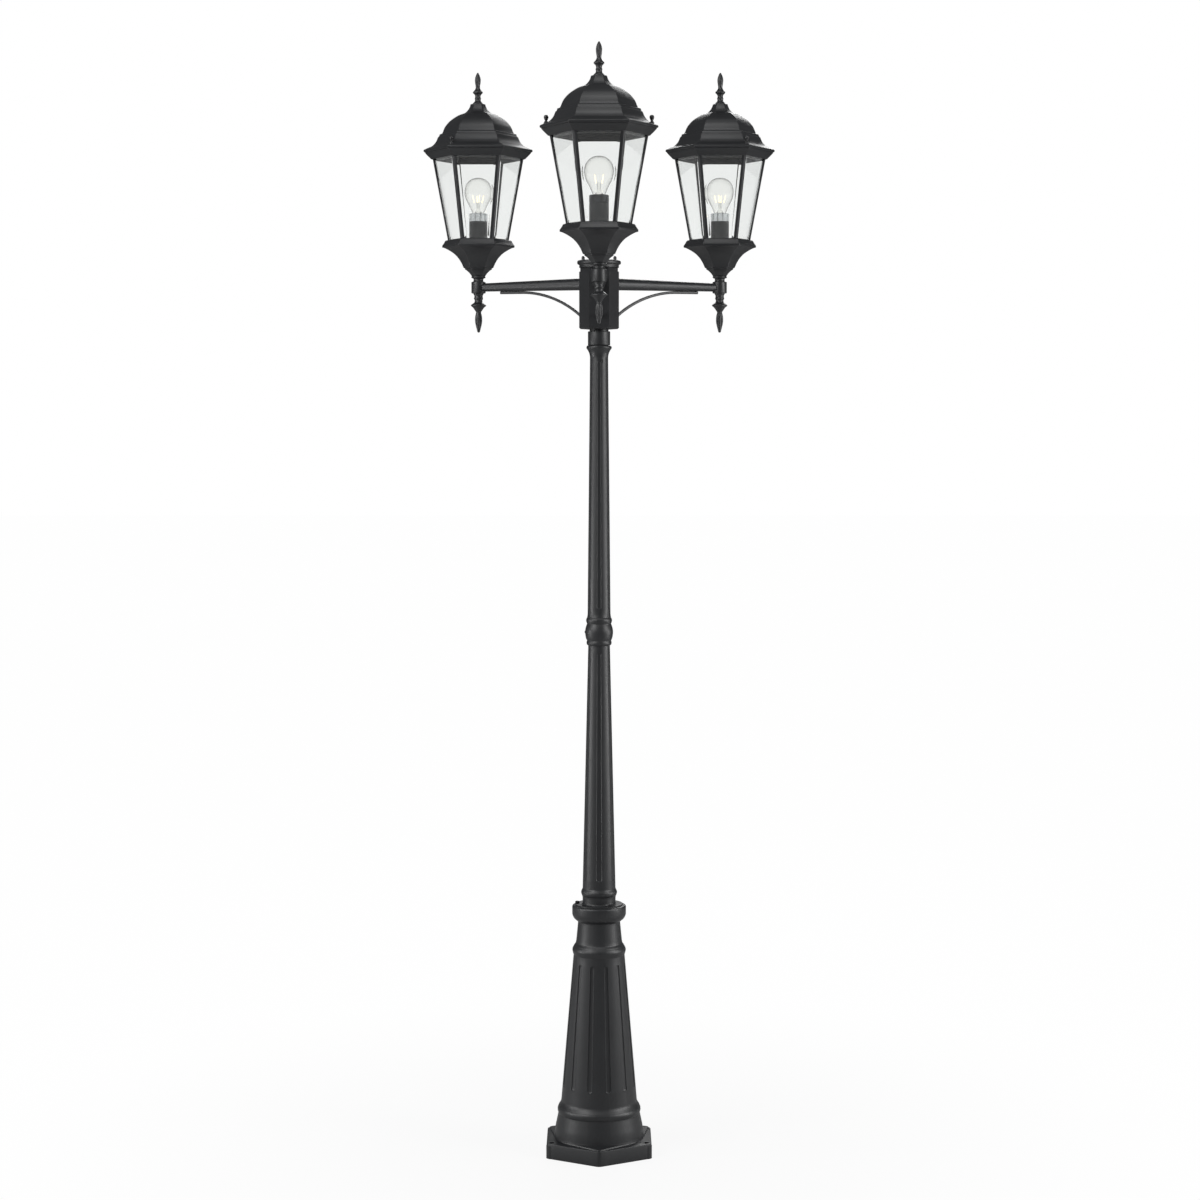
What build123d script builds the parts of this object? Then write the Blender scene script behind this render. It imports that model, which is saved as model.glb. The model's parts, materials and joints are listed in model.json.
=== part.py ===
from build123d import *

import os
from math import asin, atan, cos, degrees, radians, sin

# Post lamp with three hexagonal lantern heads, in millimetres.
# The base stands on z = 0 round the origin and the post runs up +Z.
# The front head points along -Y and the other two are turned 120 degrees from it.
# A head is modelled once, with its arm along +X, and turned into its three places.

os.makedirs("parts", exist_ok=True)

# ---- Driving sizes ----

# Heads
head_turns = {"front": -90, "right": 30, "left": 150}
arm_reach = 308
arm_rise = 97

# Slack between pieces
joint_gap = 0.1
lift_gap = 0.3
thumb_gap = 0.4
bore_sides = 8
post_sides = 24
arm_sides = 16

# Base plate
plate_radius = 132
plate_corner = 12
plate_height = 33
plate_wall = 5
plate_roof = 5
pad_height = 3
pad_tip_radius = 8
ground_bolt_circle = 119
ground_bolt_hole = 6.25
ground_bolt_boss = 12

# Pedestal
foot_radius = 98
foot_top_radius = 89.1
foot_height = 51
foot_ring_radius = 90.8
foot_ring_height = 26
foot_ring_foot_radius = 87.4
cone_base_radius = 83.3
cone_top_radius = 55.8
cone_height = 325
cone_ring_radius = 58.4
cone_ring_height = 26
throat_base_radius = 50.4
throat_radius = 46
throat_height = 46
collar_radius = 58.8
collar_cove_radius = 53.5
collar_flare = 16
collar_height = 20
collar_rim = 2.5
deck_height = 12
pedestal_wall = 4.5
pedestal_flutes = 12
pedestal_flute_width = 10
pedestal_flute_depth = 2.2
pedestal_flute_foot = 34
pedestal_flute_head = 16

# Lower shaft
shaft_flange_radius = 52
shaft_flange_height = 3
shaft_bolt_circle = 47.5
shaft_bolt_radius = 2.5
shaft_bolt_length = 10
shaft_bolt_head_radius = 4.6
shaft_bolt_head_height = 5.5
neck_radius = 36.1
neck_height = 17
neck_ring_radius = 39.1
neck_ring_height = 16
lower_shaft_foot_radius = 35.9
lower_shaft_head_radius = 23.5
lower_shaft_height = 533
shaft_wall = 3.8
foot_spigot_radius = 31
foot_spigot_length = 12
shaft_flutes = 6
shaft_flute_width = 10
shaft_flute_depth = 1.4
shaft_flute_foot = 25
shaft_flute_head = 20

# Coupling between the shafts
coupling_spigot_radius = 18.8
coupling_spigot_length = 45
coupling_bore = 15
coupling_groove_radius = 26.3
coupling_lower_ring_radius = 27.2
coupling_lower_ring_height = 11
coupling_ball_radius = 30.3
coupling_shoulder_radius = 29
coupling_ball_height = 37
coupling_upper_ring_radius = 28.1
coupling_upper_ring_height = 13
coupling_screw_radius = 2.5
coupling_screw_length = 9
coupling_screw_proud = 1

# Upper shaft
upper_shaft_foot_radius = 26
upper_shaft_base_radius = 24.8
upper_shaft_foot_height = 8
upper_shaft_head_radius = 19.6
upper_shaft_height = 552
bell_radius = 25.2
bell_throat_radius = 21.2
bell_height = 19
bell_ring_radius = 27.3
bell_ring_height = 9
upper_flute_width = 8
upper_flute_depth = 1.1

# Tenon, set screw and sleeve under the hub
tenon_radius = 16
tenon_wall = 3.5
tenon_depth = 46
tenon_screw_radius = 2.5
tenon_screw_drop = 34
tenon_screw_angle = -71
sleeve_radius = 24
sleeve_height = 30

# Hub, with radii to the corners of the hexagon
hub_radius = 42.8
hub_top_radius = 40.6
hub_height = 131
hub_top_height = 8
hub_edge = 2.5
hub_wall = 4
hub_floor = 12
hub_neck_radius = 20
hub_neck_height = 5
cap_lower_radius = 42.7
cap_lower_height = 6.5
cap_radius = 47
cap_height = 9
cap_edge = 3
cap_plug_radius = 28
cap_plug_depth = 5
cap_screw_circle = 34.2
cap_screw_radius = 2.4
cap_screw_length = 26
cap_boss_radius = 5
cap_boss_height = 20
cap_travel = 60

# Arms and braces
arm_root_radius = 13
arm_tip_radius = 8.9
arm_bore = 5.5
arm_spigot_radius = 8
arm_spigot_length = 13
arm_nut_radius = 12
arm_nut_height = 6
socket_radius = 15.7
socket_height = 25
brace_width = 6
brace_bevel = 1.6
brace_bend_radius = 245
brace_tangent_reach = 195
brace_end_reach = 250

# Nipple that clamps a lantern to its socket
nipple_radius = 5
nipple_bore = 3.4
nipple_drop = 12
nipple_length = 88
locknut_radius = 9
locknut_height = 6

# Lantern pan, with radii to the corners of the hexagon
pan_foot_radius = 12
pan_neck_radius = 10.8
pan_neck_height = 8
pan_ring_radius = 15.7
pan_ring_height = 4.5
pan_bowl_radius = 15.2
pan_bowl_curve = [(18.2, 5.4), (23, 10.5)]
pan_bowl_top_radius = 30
pan_bowl_height = 17
pan_step_radius = 33.7
pan_step_height = 2
pan_cove_curve = [(38.2, 11), (46.5, 23.1), (59.6, 34.4), (72.8, 41.6)]
pan_cove_height = 44
pan_lip_radius = 80.2
pan_lip_height = 4.5
pan_rim_radius = 72
pan_rim_height = 11
pan_floor_height = 9
pan_floor_radius = 17.5
pan_inner_middle = (43.5, 47)
pan_inner_foot = (29, 22)
pan_ledge_radius = 62
pan_recess_radius = 69
pan_recess_depth = 4.5

# Cage, with radii to the corners of the hexagon
cage_foot_radius = 67.5
cage_head_radius = 100.25
cage_window_height = 177.5
bar_flange = 6.5
bar_lip = 1.5
bar_web = 3
bar_depth = 8
sill_outer_radius = 68.5
sill_inner_radius = 58
sill_height = 6
eave_bottom_radius = 104
eave_top_radius = 117.5
eave_height = 15
eave_inner_radius = 89.6
eave_inner_drop = 3
groove_inner_radius = 92.8
groove_outer_radius = 99.5
groove_head_radius = 100.7
groove_height = 5
pane_thickness = 3
pane_setback = 1.6
pane_cover = 4.8
pane_bevel = 6.5
pane_bevel_depth = 1
pane_rise = 180

# Lid, as (flat distance, height over its underside) where a pair is given
lid_rim = (102.2, 0)
lid_rim_outer = (104.3, 1.9)
lid_rim_upper = (104.1, 5.2)
lid_slope_top = (102.4, 6.3)
lid_slope_foot = (86.4, 15)
lid_cove_lower = (82.5, 19.4)
lid_cove_upper = (78.6, 27.2)
lid_cove_head = (76.9, 32.4)
lid_ledge_lower = (74.7, 34.7)
lid_ledge_upper = (73.4, 39)
lid_dome_ledge = (68.7, 41.2)
lid_dome_foot = (66.8, 45.5)
lid_dome_middle = (56.6, 65.2)
lid_dome_head = (33.3, 82.6)
lid_crown_foot = (24.5, 86.4)
lid_crown_middle = (17.6, 94.5)
lid_crown_top = (14.4, 105)
lid_ceiling = (31.9, 79.3)
lid_inner_middle = (54.3, 62.6)
lid_inner_foot = (63.4, 45)
lid_inner_ledge = (64.5, 39.5)
lid_inner_cove = (70.2, 33)
lid_skirt_root = 26
lid_skirt_flat = 77.2
lid_skirt_wall = 3.5
lid_skirt_depth = 6
lid_eave_root = (84.9, 11.5)
lid_eave_end = (98.8, 3.6)
lid_travel = 150

# Knobs that hold the lid down
knob_circle = 107
knob_stem_radius = 2.5
knob_stem_depth = 5.5
knob_seat_height = 11
knob_spot_radius = 4.7
knob_sides = 8
finial_sides = 12
finial_stud_radius = 4
finial_stud_length = 6

# Lampholder and bulb
holder_radius = 20
holder_wall = 3
holder_foot = 6
holder_lift = 20
holder_height = 108
holder_bore = 13.6
holder_socket_depth = 27
holder_socket_floor = 7
cap_shell_radius = 13.1
cap_tip_radius = 7
cap_tip_height = 3
bulb_sides = 16
bulb_stem_radius = 6
bulb_stem_height = 22
filament_count = 4
filament_size = 1.8
filament_length = 30
filament_circle = 4
bulb_travel = 28

# Small round pieces, as (radius, distance from the seat)
lower_finial_outline = [
    (0, 0),
    (11.3, 0),
    (11.3, 4.5),
    (9.2, 6.5),
    (10.4, 12.5),
    (9.2, 16.5),
    (10.5, 21.5),
    (16.8, 25.5),
    (16.8, 28),
    (8, 37),
    (5.6, 40.5),
    (8, 54),
    (7.6, 64),
    (0, 86.5),
]
top_finial_outline = [
    (11.4, 0),
    (6.6, 6),
    (7.4, 13.5),
    (6, 17),
    (11, 24),
    (11, 26.5),
    (4.8, 36),
    (6.6, 49),
    (6.2, 55),
    (0, 68.5),
]
knob_outline = [(3.9, 0), (2.6, 2.6), (2.6, 6), (3.9, 9), (3.9, 12), (0, 15)]
cap_screw_outline = [(3.7, 0), (3.7, 5.5), (2.9, 8.4), (0, 9.8)]
bulb_outline = [
    (0, 0),
    (12.6, 0),
    (19.4, 16),
    (25.6, 28),
    (30, 42),
    (30, 52),
    (25.3, 65.5),
    (14, 75.5),
    (0, 78.3),
]
bulb_inner_outline = [
    (0, 0),
    (11.2, 0),
    (24.2, 28),
    (28.6, 42),
    (28.6, 52),
    (24, 65),
    (0, 76.5),
]

# ---- Levels up the post ----

hex_flat = cos(radians(30))

plate_top = plate_height + pad_height
foot_top = plate_top + foot_height
cone_base = foot_top + foot_ring_height
cone_top = cone_base + cone_height
throat_base = cone_top + cone_ring_height
collar_base = throat_base + throat_height
collar_band = collar_base + collar_flare
pedestal_top = collar_band + collar_height

flange_top = pedestal_top + shaft_flange_height
neck_top = flange_top + neck_height
taper_base = neck_top + neck_ring_height
lower_shaft_top = taper_base + lower_shaft_height

coupling_ball_base = lower_shaft_top + coupling_lower_ring_height
coupling_ball_top = coupling_ball_base + coupling_ball_height
coupling_top = coupling_ball_top + coupling_upper_ring_height

upper_taper_base = coupling_top + upper_shaft_foot_height
upper_taper_top = upper_taper_base + upper_shaft_height
bell_ring_base = upper_taper_top + bell_height
upper_shaft_top = bell_ring_base + bell_ring_height
sleeve_top = upper_shaft_top + sleeve_height
hub_bottom = sleeve_top + hub_neck_height
hub_top = hub_bottom + hub_height
cap_bottom = hub_top + lift_gap
cap_top = cap_bottom + cap_lower_height + cap_height

arm_level = hub_bottom + arm_rise
socket_bottom = arm_level - socket_height / 2
socket_top = arm_level + socket_height / 2
pan_ring_base = socket_top + pan_neck_height
pan_bowl_base = pan_ring_base + pan_ring_height
pan_step = pan_bowl_base + pan_bowl_height
pan_cove_base = pan_step + pan_step_height
pan_lip = pan_cove_base + pan_cove_height
pan_lip_top = pan_lip + pan_lip_height
pan_top = pan_lip_top + pan_rim_height
pan_floor = pan_bowl_base + pan_floor_height
pan_ledge = pan_top - pan_recess_depth
sill_top = pan_ledge + sill_height
eave_bottom = pan_top + cage_window_height
eave_top = eave_bottom + eave_height
groove_top = eave_bottom + groove_height
lid_bottom = eave_top + lift_gap
lid_top = lid_bottom + lid_crown_top[1]
knob_seat = lid_bottom + knob_seat_height + lift_gap
holder_bottom = pan_floor + holder_lift
holder_top = holder_bottom + holder_height
bulb_seat = holder_top - holder_socket_depth + lift_gap
glass_bottom = holder_top + lift_gap


# ---- Ways of making the pieces ----


def many_sided(outline, sides):
    """Body with one section on all its flat sides, drawn at the middle of the side facing +X."""
    half_turn = radians(180 / sides)
    with BuildPart() as wedge:
        with BuildSketch(Plane.XZ):
            add(outline)
            make_face()
        extrude(amount=eave_top_radius, both=True)
        for side in (-1, 1):
            mitre = Plane(origin=(0, 0, 0), z_dir=(-sin(half_turn), side * cos(half_turn), 0))
            split(bisect_by=mitre, keep=Keep.BOTTOM)
    with BuildPart() as body:
        with PolarLocations(0, sides):
            add(wedge.part)
    return body.part


def faceted(points, sides, seat=0, way=1):
    """Small round piece with flat sides, from (corner radius, height) points above or below its seat."""
    side_share = cos(radians(180 / sides))
    with BuildLine() as outline:
        Polyline(*[(radius * side_share, seat + way * height) for radius, height in points], close=True)
    return many_sided(outline.line, sides)


def rod(radius, low, high, sides):
    return faceted([(0, low), (radius, low), (radius, high), (0, high)], sides)


def bore(radius, low, high):
    """Tool for a hole whose flat sides clear a round or faceted piece of this radius."""
    return rod(radius / cos(radians(180 / bore_sides)), low, high, bore_sides)


def groove(low, high, width, depth):
    """Tool for a flat-bottomed groove with sloping ends, along a cone between (radius, height) points."""
    run = (Vector(*high) - Vector(*low)).normalized()
    outward = Vector(run.Y, -run.X)
    ends = [Vector(*low) + outward * depth, Vector(*low), Vector(*low) + run * width / 2 - outward * depth]
    ends += [Vector(*high) - run * width / 2 - outward * depth, Vector(*high), Vector(*high) + outward * depth]
    with BuildPart() as tool:
        with BuildSketch(Plane.XZ):
            Polygon(*[(end.X, end.Y) for end in ends], align=None)
        extrude(amount=width / 2, both=True)
    return tool.part


def on_shank(outline, radius, length):
    """Outline of a piece that sits on its seat with a plain shank below it."""
    return [(0, -length), (radius, -length), (radius, 0), *outline]


def on_circle(radius, angles):
    return [(radius * cos(radians(a)), radius * sin(radians(a))) for a in angles]


def write_piece(piece, name, places=Location()):
    """Write a piece at its place, or a group of identical pieces at all of theirs."""
    with BuildPart() as placed:
        with Locations(places):
            add(piece)
    placed.part.label = name
    export_step(placed.part, f"parts/{name}.step")


def head_place(head):
    return Location((0, 0, 0), (0, 0, head_turns[head]))


def lantern_place(head, offset=(0, 0)):
    """Where a piece drawn round the lantern's own axis goes."""
    return head_place(head) * Location((arm_reach + offset[0], offset[1], 0))


# ---- Pedestal: hexagonal plate, tapered fluted body and collar in one casting ----

bolt_hole_angles = (-30, 90, 210)
pad_tip_angles = (-90, 30, 150)
shaft_bolt_angles = (180, -60, 60)

pedestal_outline = [
    (0, plate_height),
    (foot_radius, plate_height),
    (foot_radius, plate_top),
    (foot_top_radius, foot_top),
    (foot_ring_radius, foot_top + foot_ring_height / 4),
    (foot_ring_radius, foot_top + foot_ring_height / 2),
    (foot_ring_foot_radius, foot_top + foot_ring_height * 0.7),
    (cone_base_radius, cone_base),
    (cone_top_radius, cone_top),
    (cone_ring_radius, cone_top + cone_ring_height * 0.3),
    (cone_ring_radius, cone_top + cone_ring_height * 0.45),
    (cone_top_radius - 1, cone_top + cone_ring_height * 0.7),
    (throat_base_radius, throat_base),
    (throat_radius, collar_base),
    (collar_cove_radius, collar_base + collar_flare * 0.3),
    (collar_radius, collar_band),
    (collar_radius, pedestal_top - collar_rim),
    (collar_radius - collar_rim, pedestal_top),
    (0, pedestal_top),
]

pedestal_hollow = [
    (0, 0),
    (foot_radius - pedestal_wall, 0),
    (foot_radius - pedestal_wall, plate_height),
    (cone_base_radius - pedestal_wall, cone_base),
    (cone_top_radius - pedestal_wall, cone_top),
    (throat_radius - pedestal_wall, throat_base),
    (throat_radius - pedestal_wall, pedestal_top - deck_height),
    (0, pedestal_top - deck_height),
]

cone_lean = (cone_top_radius - cone_base_radius) / cone_height
pedestal_groove = groove(
    (cone_base_radius + cone_lean * pedestal_flute_foot, cone_base + pedestal_flute_foot),
    (cone_top_radius - cone_lean * pedestal_flute_head, cone_top - pedestal_flute_head),
    pedestal_flute_width,
    pedestal_flute_depth,
)
pedestal_body = faceted(pedestal_outline, post_sides)
pedestal_core = faceted(pedestal_hollow, post_sides)

ground_boss = rod(ground_bolt_boss, 0, plate_height, bore_sides)
spigot_hole = rod(foot_spigot_radius + joint_gap, pedestal_top - deck_height, pedestal_top, post_sides)
shaft_bolt_hole = bore(shaft_bolt_radius + joint_gap, pedestal_top - deck_height, flange_top)
ground_bolt_places = [Location((x, y, 0)) for x, y in on_circle(ground_bolt_circle, bolt_hole_angles)]
shaft_bolt_places = [Location((x, y, 0)) for x, y in on_circle(shaft_bolt_circle, shaft_bolt_angles)]

with BuildPart() as pedestal:
    with BuildSketch():
        RegularPolygon(plate_radius, 6, rotation=30)
        chamfer(vertices(), plate_corner / 2)
    extrude(amount=plate_height)
    with BuildSketch(Plane.XY.offset(plate_height)):
        RegularPolygon(foot_radius, post_sides)
        with Locations(on_circle(plate_radius - plate_corner - 2, pad_tip_angles)):
            RegularPolygon(pad_tip_radius, bore_sides)
        make_hull()
    extrude(amount=pad_height)
    add(pedestal_body)
    with BuildSketch():
        RegularPolygon(plate_radius - plate_wall / hex_flat, 6, rotation=30)
    extrude(amount=plate_height - plate_roof, mode=Mode.SUBTRACT)
    with Locations(ground_bolt_places):
        add(ground_boss)
    add(pedestal_core, mode=Mode.SUBTRACT)
    with BuildSketch():
        with Locations(on_circle(ground_bolt_circle, bolt_hole_angles)):
            Circle(ground_bolt_hole)
    extrude(amount=plate_top, mode=Mode.SUBTRACT)
    add(spigot_hole, mode=Mode.SUBTRACT)
    with Locations(shaft_bolt_places):
        add(shaft_bolt_hole, mode=Mode.SUBTRACT)
    with PolarLocations(0, pedestal_flutes, start_angle=15):
        add(pedestal_groove, mode=Mode.SUBTRACT)
write_piece(pedestal.part, "pedestal")

# ---- Lower shaft and its flange bolts ----

lower_shaft_outline = [
    (foot_spigot_radius - shaft_wall, pedestal_top - foot_spigot_length),
    (foot_spigot_radius, pedestal_top - foot_spigot_length),
    (foot_spigot_radius, pedestal_top),
    (shaft_flange_radius, pedestal_top),
    (shaft_flange_radius, flange_top),
    (neck_radius, flange_top),
    (neck_radius, neck_top),
    (neck_ring_radius, neck_top + neck_ring_height * 0.4),
    (neck_ring_radius, neck_top + neck_ring_height * 0.6),
    (lower_shaft_foot_radius, taper_base),
    (lower_shaft_head_radius, lower_shaft_top),
    (coupling_spigot_radius + joint_gap, lower_shaft_top),
    (coupling_spigot_radius + joint_gap, lower_shaft_top - coupling_spigot_length - lift_gap),
    (lower_shaft_foot_radius - shaft_wall, taper_base),
    (foot_spigot_radius - shaft_wall, neck_top),
]

lower_lean = (lower_shaft_head_radius - lower_shaft_foot_radius) / lower_shaft_height
lower_groove = groove(
    (lower_shaft_foot_radius + lower_lean * shaft_flute_foot, taper_base + shaft_flute_foot),
    (lower_shaft_head_radius - lower_lean * shaft_flute_head, lower_shaft_top - shaft_flute_head),
    shaft_flute_width,
    shaft_flute_depth,
)
lower_shaft_body = faceted(lower_shaft_outline, post_sides)
with BuildPart() as lower_shaft:
    add(lower_shaft_body)
    with Locations(shaft_bolt_places):
        add(shaft_bolt_hole, mode=Mode.SUBTRACT)
    with PolarLocations(0, shaft_flutes, start_angle=30):
        add(lower_groove, mode=Mode.SUBTRACT)
write_piece(lower_shaft.part, "lower_shaft")

shaft_bolt_head = rod(shaft_bolt_head_radius, flange_top, flange_top + shaft_bolt_head_height, 6)
shaft_bolt_shank = rod(shaft_bolt_radius, flange_top - shaft_bolt_length, flange_top, bore_sides)
with BuildPart() as shaft_bolt:
    add(shaft_bolt_head)
    add(shaft_bolt_shank)
write_piece(shaft_bolt.part, "shaft_bolts", shaft_bolt_places)

# ---- Coupling between the shafts, and its set screw ----

coupling_outline = [
    (coupling_bore, lower_shaft_top - coupling_spigot_length),
    (coupling_spigot_radius, lower_shaft_top - coupling_spigot_length),
    (coupling_spigot_radius, lower_shaft_top),
    (lower_shaft_head_radius, lower_shaft_top),
    (coupling_lower_ring_radius, lower_shaft_top + coupling_lower_ring_height * 0.4),
    (coupling_lower_ring_radius, lower_shaft_top + coupling_lower_ring_height * 0.8),
    (coupling_groove_radius, coupling_ball_base),
    (coupling_shoulder_radius, coupling_ball_base + coupling_ball_height * 0.2),
    (coupling_ball_radius, coupling_ball_base + coupling_ball_height / 2),
    (coupling_shoulder_radius, coupling_ball_top - coupling_ball_height * 0.2),
    (coupling_groove_radius, coupling_ball_top),
    (coupling_upper_ring_radius, coupling_ball_top + coupling_upper_ring_height * 0.35),
    (coupling_upper_ring_radius, coupling_ball_top + coupling_upper_ring_height * 0.65),
    (upper_shaft_foot_radius, coupling_top),
    (coupling_spigot_radius, coupling_top),
    (coupling_spigot_radius, coupling_top + coupling_spigot_length),
    (coupling_bore, coupling_top + coupling_spigot_length),
]

coupling_body = faceted(coupling_outline, post_sides)
coupling_middle = coupling_ball_base + coupling_ball_height / 2
coupling_screw_plane = Plane(origin=(-coupling_ball_radius, 0, coupling_middle), z_dir=(-1, 0, 0))
with BuildPart() as coupling:
    add(coupling_body)
    with BuildSketch(coupling_screw_plane.offset(coupling_screw_proud)):
        RegularPolygon(coupling_screw_radius + thumb_gap, bore_sides)
    extrude(amount=coupling_bore - coupling_ball_radius, mode=Mode.SUBTRACT)
write_piece(coupling.part, "shaft_coupling")

with BuildPart() as coupling_screw:
    with BuildSketch(coupling_screw_plane.offset(coupling_screw_proud)):
        RegularPolygon(coupling_screw_radius, bore_sides)
    extrude(amount=-coupling_screw_length)
write_piece(coupling_screw.part, "coupling_screw")

# ---- Upper shaft, tenon, set screw and sleeve under the hub ----

# The bore's flat sides, and not its corners, clear the tenon
tenon_seat_radius = (tenon_radius + joint_gap) / cos(radians(180 / post_sides))
upper_shaft_outline = [
    (coupling_spigot_radius + joint_gap, coupling_top),
    (upper_shaft_foot_radius, coupling_top),
    (upper_shaft_base_radius, upper_taper_base),
    (upper_shaft_head_radius, upper_taper_top),
    (bell_throat_radius, upper_taper_top + bell_height * 0.6),
    (bell_radius, bell_ring_base),
    (bell_ring_radius, bell_ring_base + bell_ring_height * 0.4),
    (bell_ring_radius, bell_ring_base + bell_ring_height * 0.7),
    (sleeve_radius, upper_shaft_top),
    (tenon_seat_radius, upper_shaft_top),
    (tenon_seat_radius, upper_shaft_top - tenon_depth - lift_gap),
    (coupling_spigot_radius + joint_gap, coupling_top + coupling_spigot_length + lift_gap),
]

upper_lean = (upper_shaft_head_radius - upper_shaft_base_radius) / upper_shaft_height
upper_groove = groove(
    (upper_shaft_base_radius + upper_lean * shaft_flute_head, upper_taper_base + shaft_flute_head),
    (upper_shaft_head_radius - upper_lean * shaft_flute_head, upper_taper_top - shaft_flute_head),
    upper_flute_width,
    upper_flute_depth,
)
upper_shaft_body = faceted(upper_shaft_outline, post_sides)
screw_way = (*on_circle(1, [tenon_screw_angle])[0], 0)
tenon_screw_plane = Plane(origin=(0, 0, upper_shaft_top - tenon_screw_drop), z_dir=screw_way)
with BuildPart() as upper_shaft:
    add(upper_shaft_body)
    with BuildSketch(tenon_screw_plane):
        RegularPolygon(tenon_screw_radius + thumb_gap, bore_sides)
    extrude(amount=bell_radius, mode=Mode.SUBTRACT)
    with PolarLocations(0, shaft_flutes, start_angle=30):
        add(upper_groove, mode=Mode.SUBTRACT)
write_piece(upper_shaft.part, "upper_shaft")

tenon_foot = upper_shaft_top - tenon_depth
tenon_head = hub_bottom + hub_floor
tenon_rod = rod(tenon_radius, tenon_foot, tenon_head, arm_sides)
tenon_hollow = rod(tenon_radius - tenon_wall, tenon_foot, tenon_head, arm_sides)
tenon_hole = rod(tenon_radius + joint_gap, upper_shaft_top, tenon_head, arm_sides)
with BuildPart() as tenon:
    add(tenon_rod)
    add(tenon_hollow, mode=Mode.SUBTRACT)
write_piece(tenon.part, "hub_tenon")

with BuildPart() as tenon_screw:
    with BuildSketch(tenon_screw_plane.offset(tenon_radius + joint_gap)):
        RegularPolygon(tenon_screw_radius, bore_sides)
    extrude(amount=upper_shaft_head_radius - tenon_radius - 2 * joint_gap)
write_piece(tenon_screw.part, "tenon_screw")

sleeve_rod = rod(sleeve_radius, upper_shaft_top, sleeve_top, arm_sides)
with BuildPart() as sleeve:
    add(sleeve_rod)
    add(tenon_hole, mode=Mode.SUBTRACT)
write_piece(sleeve.part, "hub_sleeve")

# ---- Hub, arm nuts, cap and the cap's thumb screws ----

hub_face = hub_radius * hex_flat
hub_chamber_face = hub_face - hub_wall
cap_screw_spots = on_circle(cap_screw_circle, (0, 180))
arm_planes = [
    Plane(origin=(0, 0, arm_level), z_dir=(cos(radians(turn)), sin(radians(turn)), 0))
    for turn in head_turns.values()
]
cap_screw_places = [Location((x, y, 0)) for x, y in cap_screw_spots]
hub_neck = rod(hub_neck_radius, sleeve_top, hub_bottom, arm_sides)
cap_boss = rod(cap_boss_radius, hub_top - cap_boss_height, hub_top, bore_sides)
cap_boss_hole = bore(cap_screw_radius + thumb_gap, hub_top - cap_boss_height, hub_top)
with BuildPart() as hub:
    with BuildSketch(Plane.XY.offset(hub_bottom)):
        RegularPolygon(hub_radius, 6)
    extrude(amount=hub_height - hub_top_height)
    chamfer(faces().sort_by(Axis.Z)[0].edges(), hub_edge)
    with BuildSketch(Plane.XY.offset(hub_top - hub_top_height)):
        RegularPolygon(hub_top_radius, 6)
    extrude(amount=hub_top_height)
    add(hub_neck)
    with BuildSketch(Plane.XY.offset(hub_bottom + hub_floor)):
        RegularPolygon(hub_chamber_face, 6, major_radius=False)
    extrude(amount=hub_height, mode=Mode.SUBTRACT)
    with Locations(cap_screw_places):
        add(cap_boss)
        add(cap_boss_hole, mode=Mode.SUBTRACT)
    add(tenon_hole, mode=Mode.SUBTRACT)
    with BuildSketch(*arm_planes):
        RegularPolygon(arm_spigot_radius + joint_gap, arm_sides, major_radius=False)
    extrude(amount=hub_radius, mode=Mode.SUBTRACT)
write_piece(hub.part, "hub")

with BuildPart() as arm_nut:
    with BuildSketch(Plane(origin=(hub_chamber_face, 0, arm_level), z_dir=(-1, 0, 0))):
        RegularPolygon(arm_nut_radius, 6)
        RegularPolygon(
            arm_spigot_radius + joint_gap, arm_sides, major_radius=False, mode=Mode.SUBTRACT
        )
    extrude(amount=arm_nut_height)
write_piece(arm_nut.part, "arm_nuts", [head_place(head) for head in head_turns])

cap_shoulder = cap_bottom + cap_lower_height
hub_cap_body = faceted(
    [
        (0, cap_bottom - cap_plug_depth),
        (cap_plug_radius, cap_bottom - cap_plug_depth),
        (cap_plug_radius, cap_bottom),
        (cap_lower_radius, cap_bottom),
        (cap_lower_radius, cap_shoulder),
        (cap_radius, cap_shoulder + cap_edge),
        (cap_radius, cap_top - cap_edge),
        (cap_radius - cap_edge, cap_top),
        (0, cap_top),
    ],
    post_sides,
)
cap_hole = bore(cap_screw_radius + joint_gap, cap_bottom, cap_top)
with BuildPart() as hub_cap:
    add(hub_cap_body)
    with Locations(cap_screw_places):
        add(cap_hole, mode=Mode.SUBTRACT)
write_piece(hub_cap.part, "hub_cap")

cap_screw = faceted(on_shank(cap_screw_outline, cap_screw_radius, cap_screw_length), knob_sides, cap_top)
write_piece(cap_screw, "hub_cap_screws", cap_screw_places)

# ---- Arm with its socket, and the brace under it ----

arm_length = arm_reach - hub_face
arm_rod = faceted(
    [
        (0, -arm_spigot_length),
        (arm_spigot_radius, -arm_spigot_length),
        (arm_spigot_radius, 0),
        (arm_root_radius, 0),
        (arm_tip_radius, arm_length),
        (0, arm_length),
    ],
    arm_sides,
)
arm_hollow = rod(arm_bore, -arm_spigot_length, arm_length, bore_sides)
socket_rod = rod(socket_radius, socket_bottom, socket_top, arm_sides)
socket_bore = bore(nipple_radius + joint_gap, socket_bottom, socket_top)
arm_start = Location((hub_face, 0, arm_level), (0, 90, 0))
with BuildPart() as arm:
    with Locations(arm_start):
        add(arm_rod)
    with Locations((arm_reach, 0, 0)):
        add(socket_rod)
    with Locations(arm_start):
        add(arm_hollow, mode=Mode.SUBTRACT)
    with Locations((arm_reach, 0, 0)):
        add(socket_bore, mode=Mode.SUBTRACT)

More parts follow.
